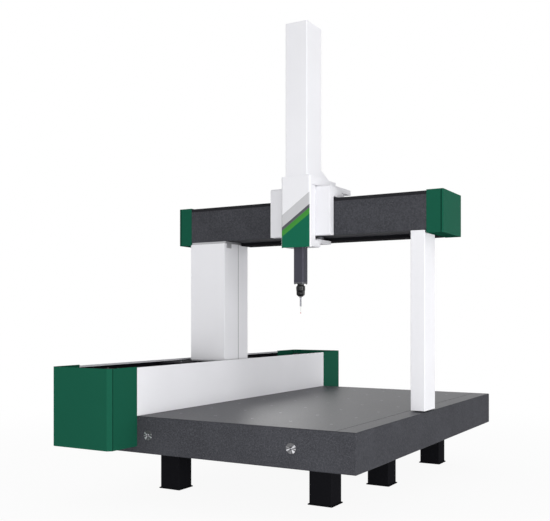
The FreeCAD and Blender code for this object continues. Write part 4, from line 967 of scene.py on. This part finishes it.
class MACHINE_OT_screws(bpy.types.Operator):
    """Cap screws of covers, brackets, bearings and plates"""

    bl_idname = "machine.screws"
    bl_label = "Screws"

    def execute(self, context):
        details = context.scene.machine_details
        tree = screw_pattern(context)
        by_body = {}
        for grid in screw_grids():
            mesh = tree.run(context, facing(grid.spot, grid.across, grid.along),
                            across=grid.counts[0], along=grid.counts[1], pitch_across=grid.pitches[0],
                            pitch_along=grid.pitches[1], head=getattr(details, grid.head))
            by_body.setdefault(BODY_OF[grid.node], []).append(mesh)
        for body, meshes in by_body.items():
            gather("screws_of_" + body, meshes, body, SLOT_OF["thread_inserts"])
        return {"FINISHED"}


class MACHINE_OT_cover_floors(bpy.types.Operator):
    """Sheets that close the beam's end covers from below"""

    bl_idname = "machine.cover_floors"
    bl_label = "Cover floors"

    def execute(self, context):
        left, right = "beam_end_cover_left", "beam_end_cover_right"
        beside_leg = LOW["left_leg_front_cover"].x - 2 * FLOOR_GAP
        sheets = []
        for cover, end in ((left, beside_leg), (right, HIGH[right].x - FLOOR_GAP)):
            start = LOW[cover].x + FLOOR_GAP
            near, far = LOW[cover].y + FLOOR_GAP, HIGH[cover].y - FLOOR_GAP
            floor_z = LOW[cover].z + FLOOR_GAP / 2
            made = bmesh.new()
            corners = ((start, near), (end, near), (end, far), (start, far))
            sheet = made.faces.new([made.verts.new((x, y, floor_z)) for x, y in corners])
            for part in bmesh.ops.extrude_face_region(made, geom=[sheet])["geom"]:
                if isinstance(part, bmesh.types.BMVert):
                    part.co.z += FLOOR_WALL
            bmesh.ops.recalc_face_normals(made, faces=made.faces)
            bmesh.ops.bevel(made, geom=made.edges, offset=COATED_EDGE, segments=EDGE_SEGMENTS, affect="EDGES")
            mesh = poured(made, bpy.data.meshes.new("cover_floor"))
            # The sheets take a darker copy of the cover green: painted shade under the covers
            mesh.materials.append(finish_named(context, "underside_green"))
            sheets.append(mesh)
        gather("beam_cover_floors", sheets, BODY_OF["beam"], SLOT_OF[right])
        return {"FINISHED"}


class MACHINE_OT_belt_teeth(bpy.types.Operator):
    """Teeth on the straight runs of the two long belts, clear of the turning pulleys"""

    bl_idname = "machine.belt_teeth"
    bl_label = "Belt teeth"

    def execute(self, context):
        details = context.scene.machine_details
        tree = tooth_pattern(context)
        for node, along, across, direction in (("y_belt", "y", "x", AWAY), ("x_belt", "x", "y", RIGHT)):
            reach = HIGH[node] - LOW[node]
            run = getattr(reach, along) - reach.z
            places = round(run / details.tooth_pitch)
            lift = reach.z / 2 - details.belt - details.tooth / 2
            teeth = []
            for way in (1, -1):
                spot = middle(node) + Vector(UP) * way * lift
                teeth.append(tree.run(context, facing(spot, direction, UP), count=places - FREE_TEETH,
                                      pitch=run / places, depth=details.tooth, width=getattr(reach, across)))
            gather(node + "_teeth", teeth, BODY_OF[node], SLOT_OF[node])
        return {"FINISHED"}


# Studio
def add_lamp(name, power):
    place, target, size = LAMPS[name]
    data = bpy.data.lights.new(name + "_lamp", "AREA")
    data.shape = "RECTANGLE"
    data.size, data.size_y = size
    data.energy = power
    lamp = link(name + "_lamp", data)
    lamp.location = place
    lamp.rotation_euler = (Vector(target) - Vector(place)).to_track_quat("-Z", "Y").to_euler()


def add_world(strength):
    """White where it is seen, and an even light elsewhere."""
    world = bpy.data.worlds.new("studio_world")
    bpy.context.scene.world = world
    world.use_nodes = True
    graph = Graph(world.node_tree)
    sky = graph.add("ShaderNodeBackground", color=as_colour(WHITE),
                    strength=strength + seen_directly(graph) * (1.0 - strength))
    graph.add("ShaderNodeOutputWorld", surface=sky)


def add_camera(studio):
    data = bpy.data.cameras.new("photo_camera")
    data.lens = studio.lens
    data.sensor_width = SENSOR_WIDTH
    data.shift_x = studio.shift_x
    data.shift_y = studio.shift_y
    data.clip_end = VIEW_END
    camera = link("photo_camera", data)
    camera.location = (studio.camera_x, studio.camera_y, studio.camera_z)
    camera.rotation_euler = (math.radians(90), 0.0, studio.camera_turn)
    bpy.context.scene.camera = camera


def stage_finish():
    """Pale floor that keeps a soft shadow below the machine and turns white away from it."""
    floor = Finish("studio_floor")
    distance = floor.add("ShaderNodeVectorMath", {"operation": "LENGTH"}, vector=floor.place()).out("Value")
    glow_share = STAGE_GLOW + distance.step(STAGE_NEAR, STAGE_FAR) * (1.0 - STAGE_GLOW)
    matt = floor.add("ShaderNodeBsdfDiffuse", color=as_colour(STAGE_GREY))
    glow = floor.add("ShaderNodeEmission", color=as_colour(WHITE), strength=1.0)
    surface = floor.add("ShaderNodeMixShader", fac=seen_directly(floor) * glow_share, shader=matt,
                        shader_001=glow)
    floor.add("ShaderNodeOutputMaterial", surface=surface)
    return floor.made


class MACHINE_OT_stage(bpy.types.Operator):
    """Floor, lamps, world and camera"""

    bl_idname = "machine.stage"
    bl_label = "Stage"

    def execute(self, context):
        studio = context.scene.machine_studio
        made = bmesh.new()
        bmesh.ops.create_grid(made, x_segments=1, y_segments=1, size=STAGE_REACH)
        mesh = poured(made, bpy.data.meshes.new("studio_floor"))
        mesh.materials.append(stage_finish())
        floor = link("studio_floor", mesh)
        add_world(studio.world)
        for name in LAMPS:
            add_lamp(name, getattr(studio, name))
        add_camera(studio)
        context.scene.view_settings.view_transform = "Standard"
        return {"FINISHED"}


STEPS = (
    MACHINE_OT_granite, MACHINE_OT_table_fittings, MACHINE_OT_trough, MACHINE_OT_bridge,
    MACHINE_OT_carriage, MACHINE_OT_column, MACHINE_OT_bearings, MACHINE_OT_drives,
    MACHINE_OT_ram, MACHINE_OT_probe_head, MACHINE_OT_inserts, MACHINE_OT_screws,
    MACHINE_OT_cover_floors, MACHINE_OT_belt_teeth, MACHINE_OT_stage,
)


class MACHINE_PT_panel(bpy.types.Panel):
    """Lists the pieces of the machine and their settings"""

    bl_label = "Measuring machine"
    bl_idname = "MACHINE_PT_panel"
    bl_space_type = "VIEW_3D"
    bl_region_type = "UI"
    bl_category = "Machine"

    def draw(self, context):
        for settings in (context.scene.machine_finishes, context.scene.machine_details,
                         context.scene.machine_studio):
            box = self.layout.box()
            for name in settings.__annotations__:
                box.prop(settings, name)
        for step in STEPS:
            self.layout.operator(step.bl_idname)


CLASSES = (MachineFinishes, MachineDetails, MachineStudio, *STEPS, MACHINE_PT_panel)


def register():
    for entry in CLASSES:
        bpy.utils.register_class(entry)
    bpy.types.Scene.machine_finishes = PointerProperty(type=MachineFinishes)
    bpy.types.Scene.machine_details = PointerProperty(type=MachineDetails)
    bpy.types.Scene.machine_studio = PointerProperty(type=MachineStudio)


def unregister():
    del bpy.types.Scene.machine_studio
    del bpy.types.Scene.machine_details
    del bpy.types.Scene.machine_finishes
    for entry in reversed(CLASSES):
        bpy.utils.unregister_class(entry)


def main():
    register()
    for step in STEPS:
        group, name = step.bl_idname.split(".")
        getattr(getattr(bpy.ops, group), name)()


if __name__ == "__main__":
    main()
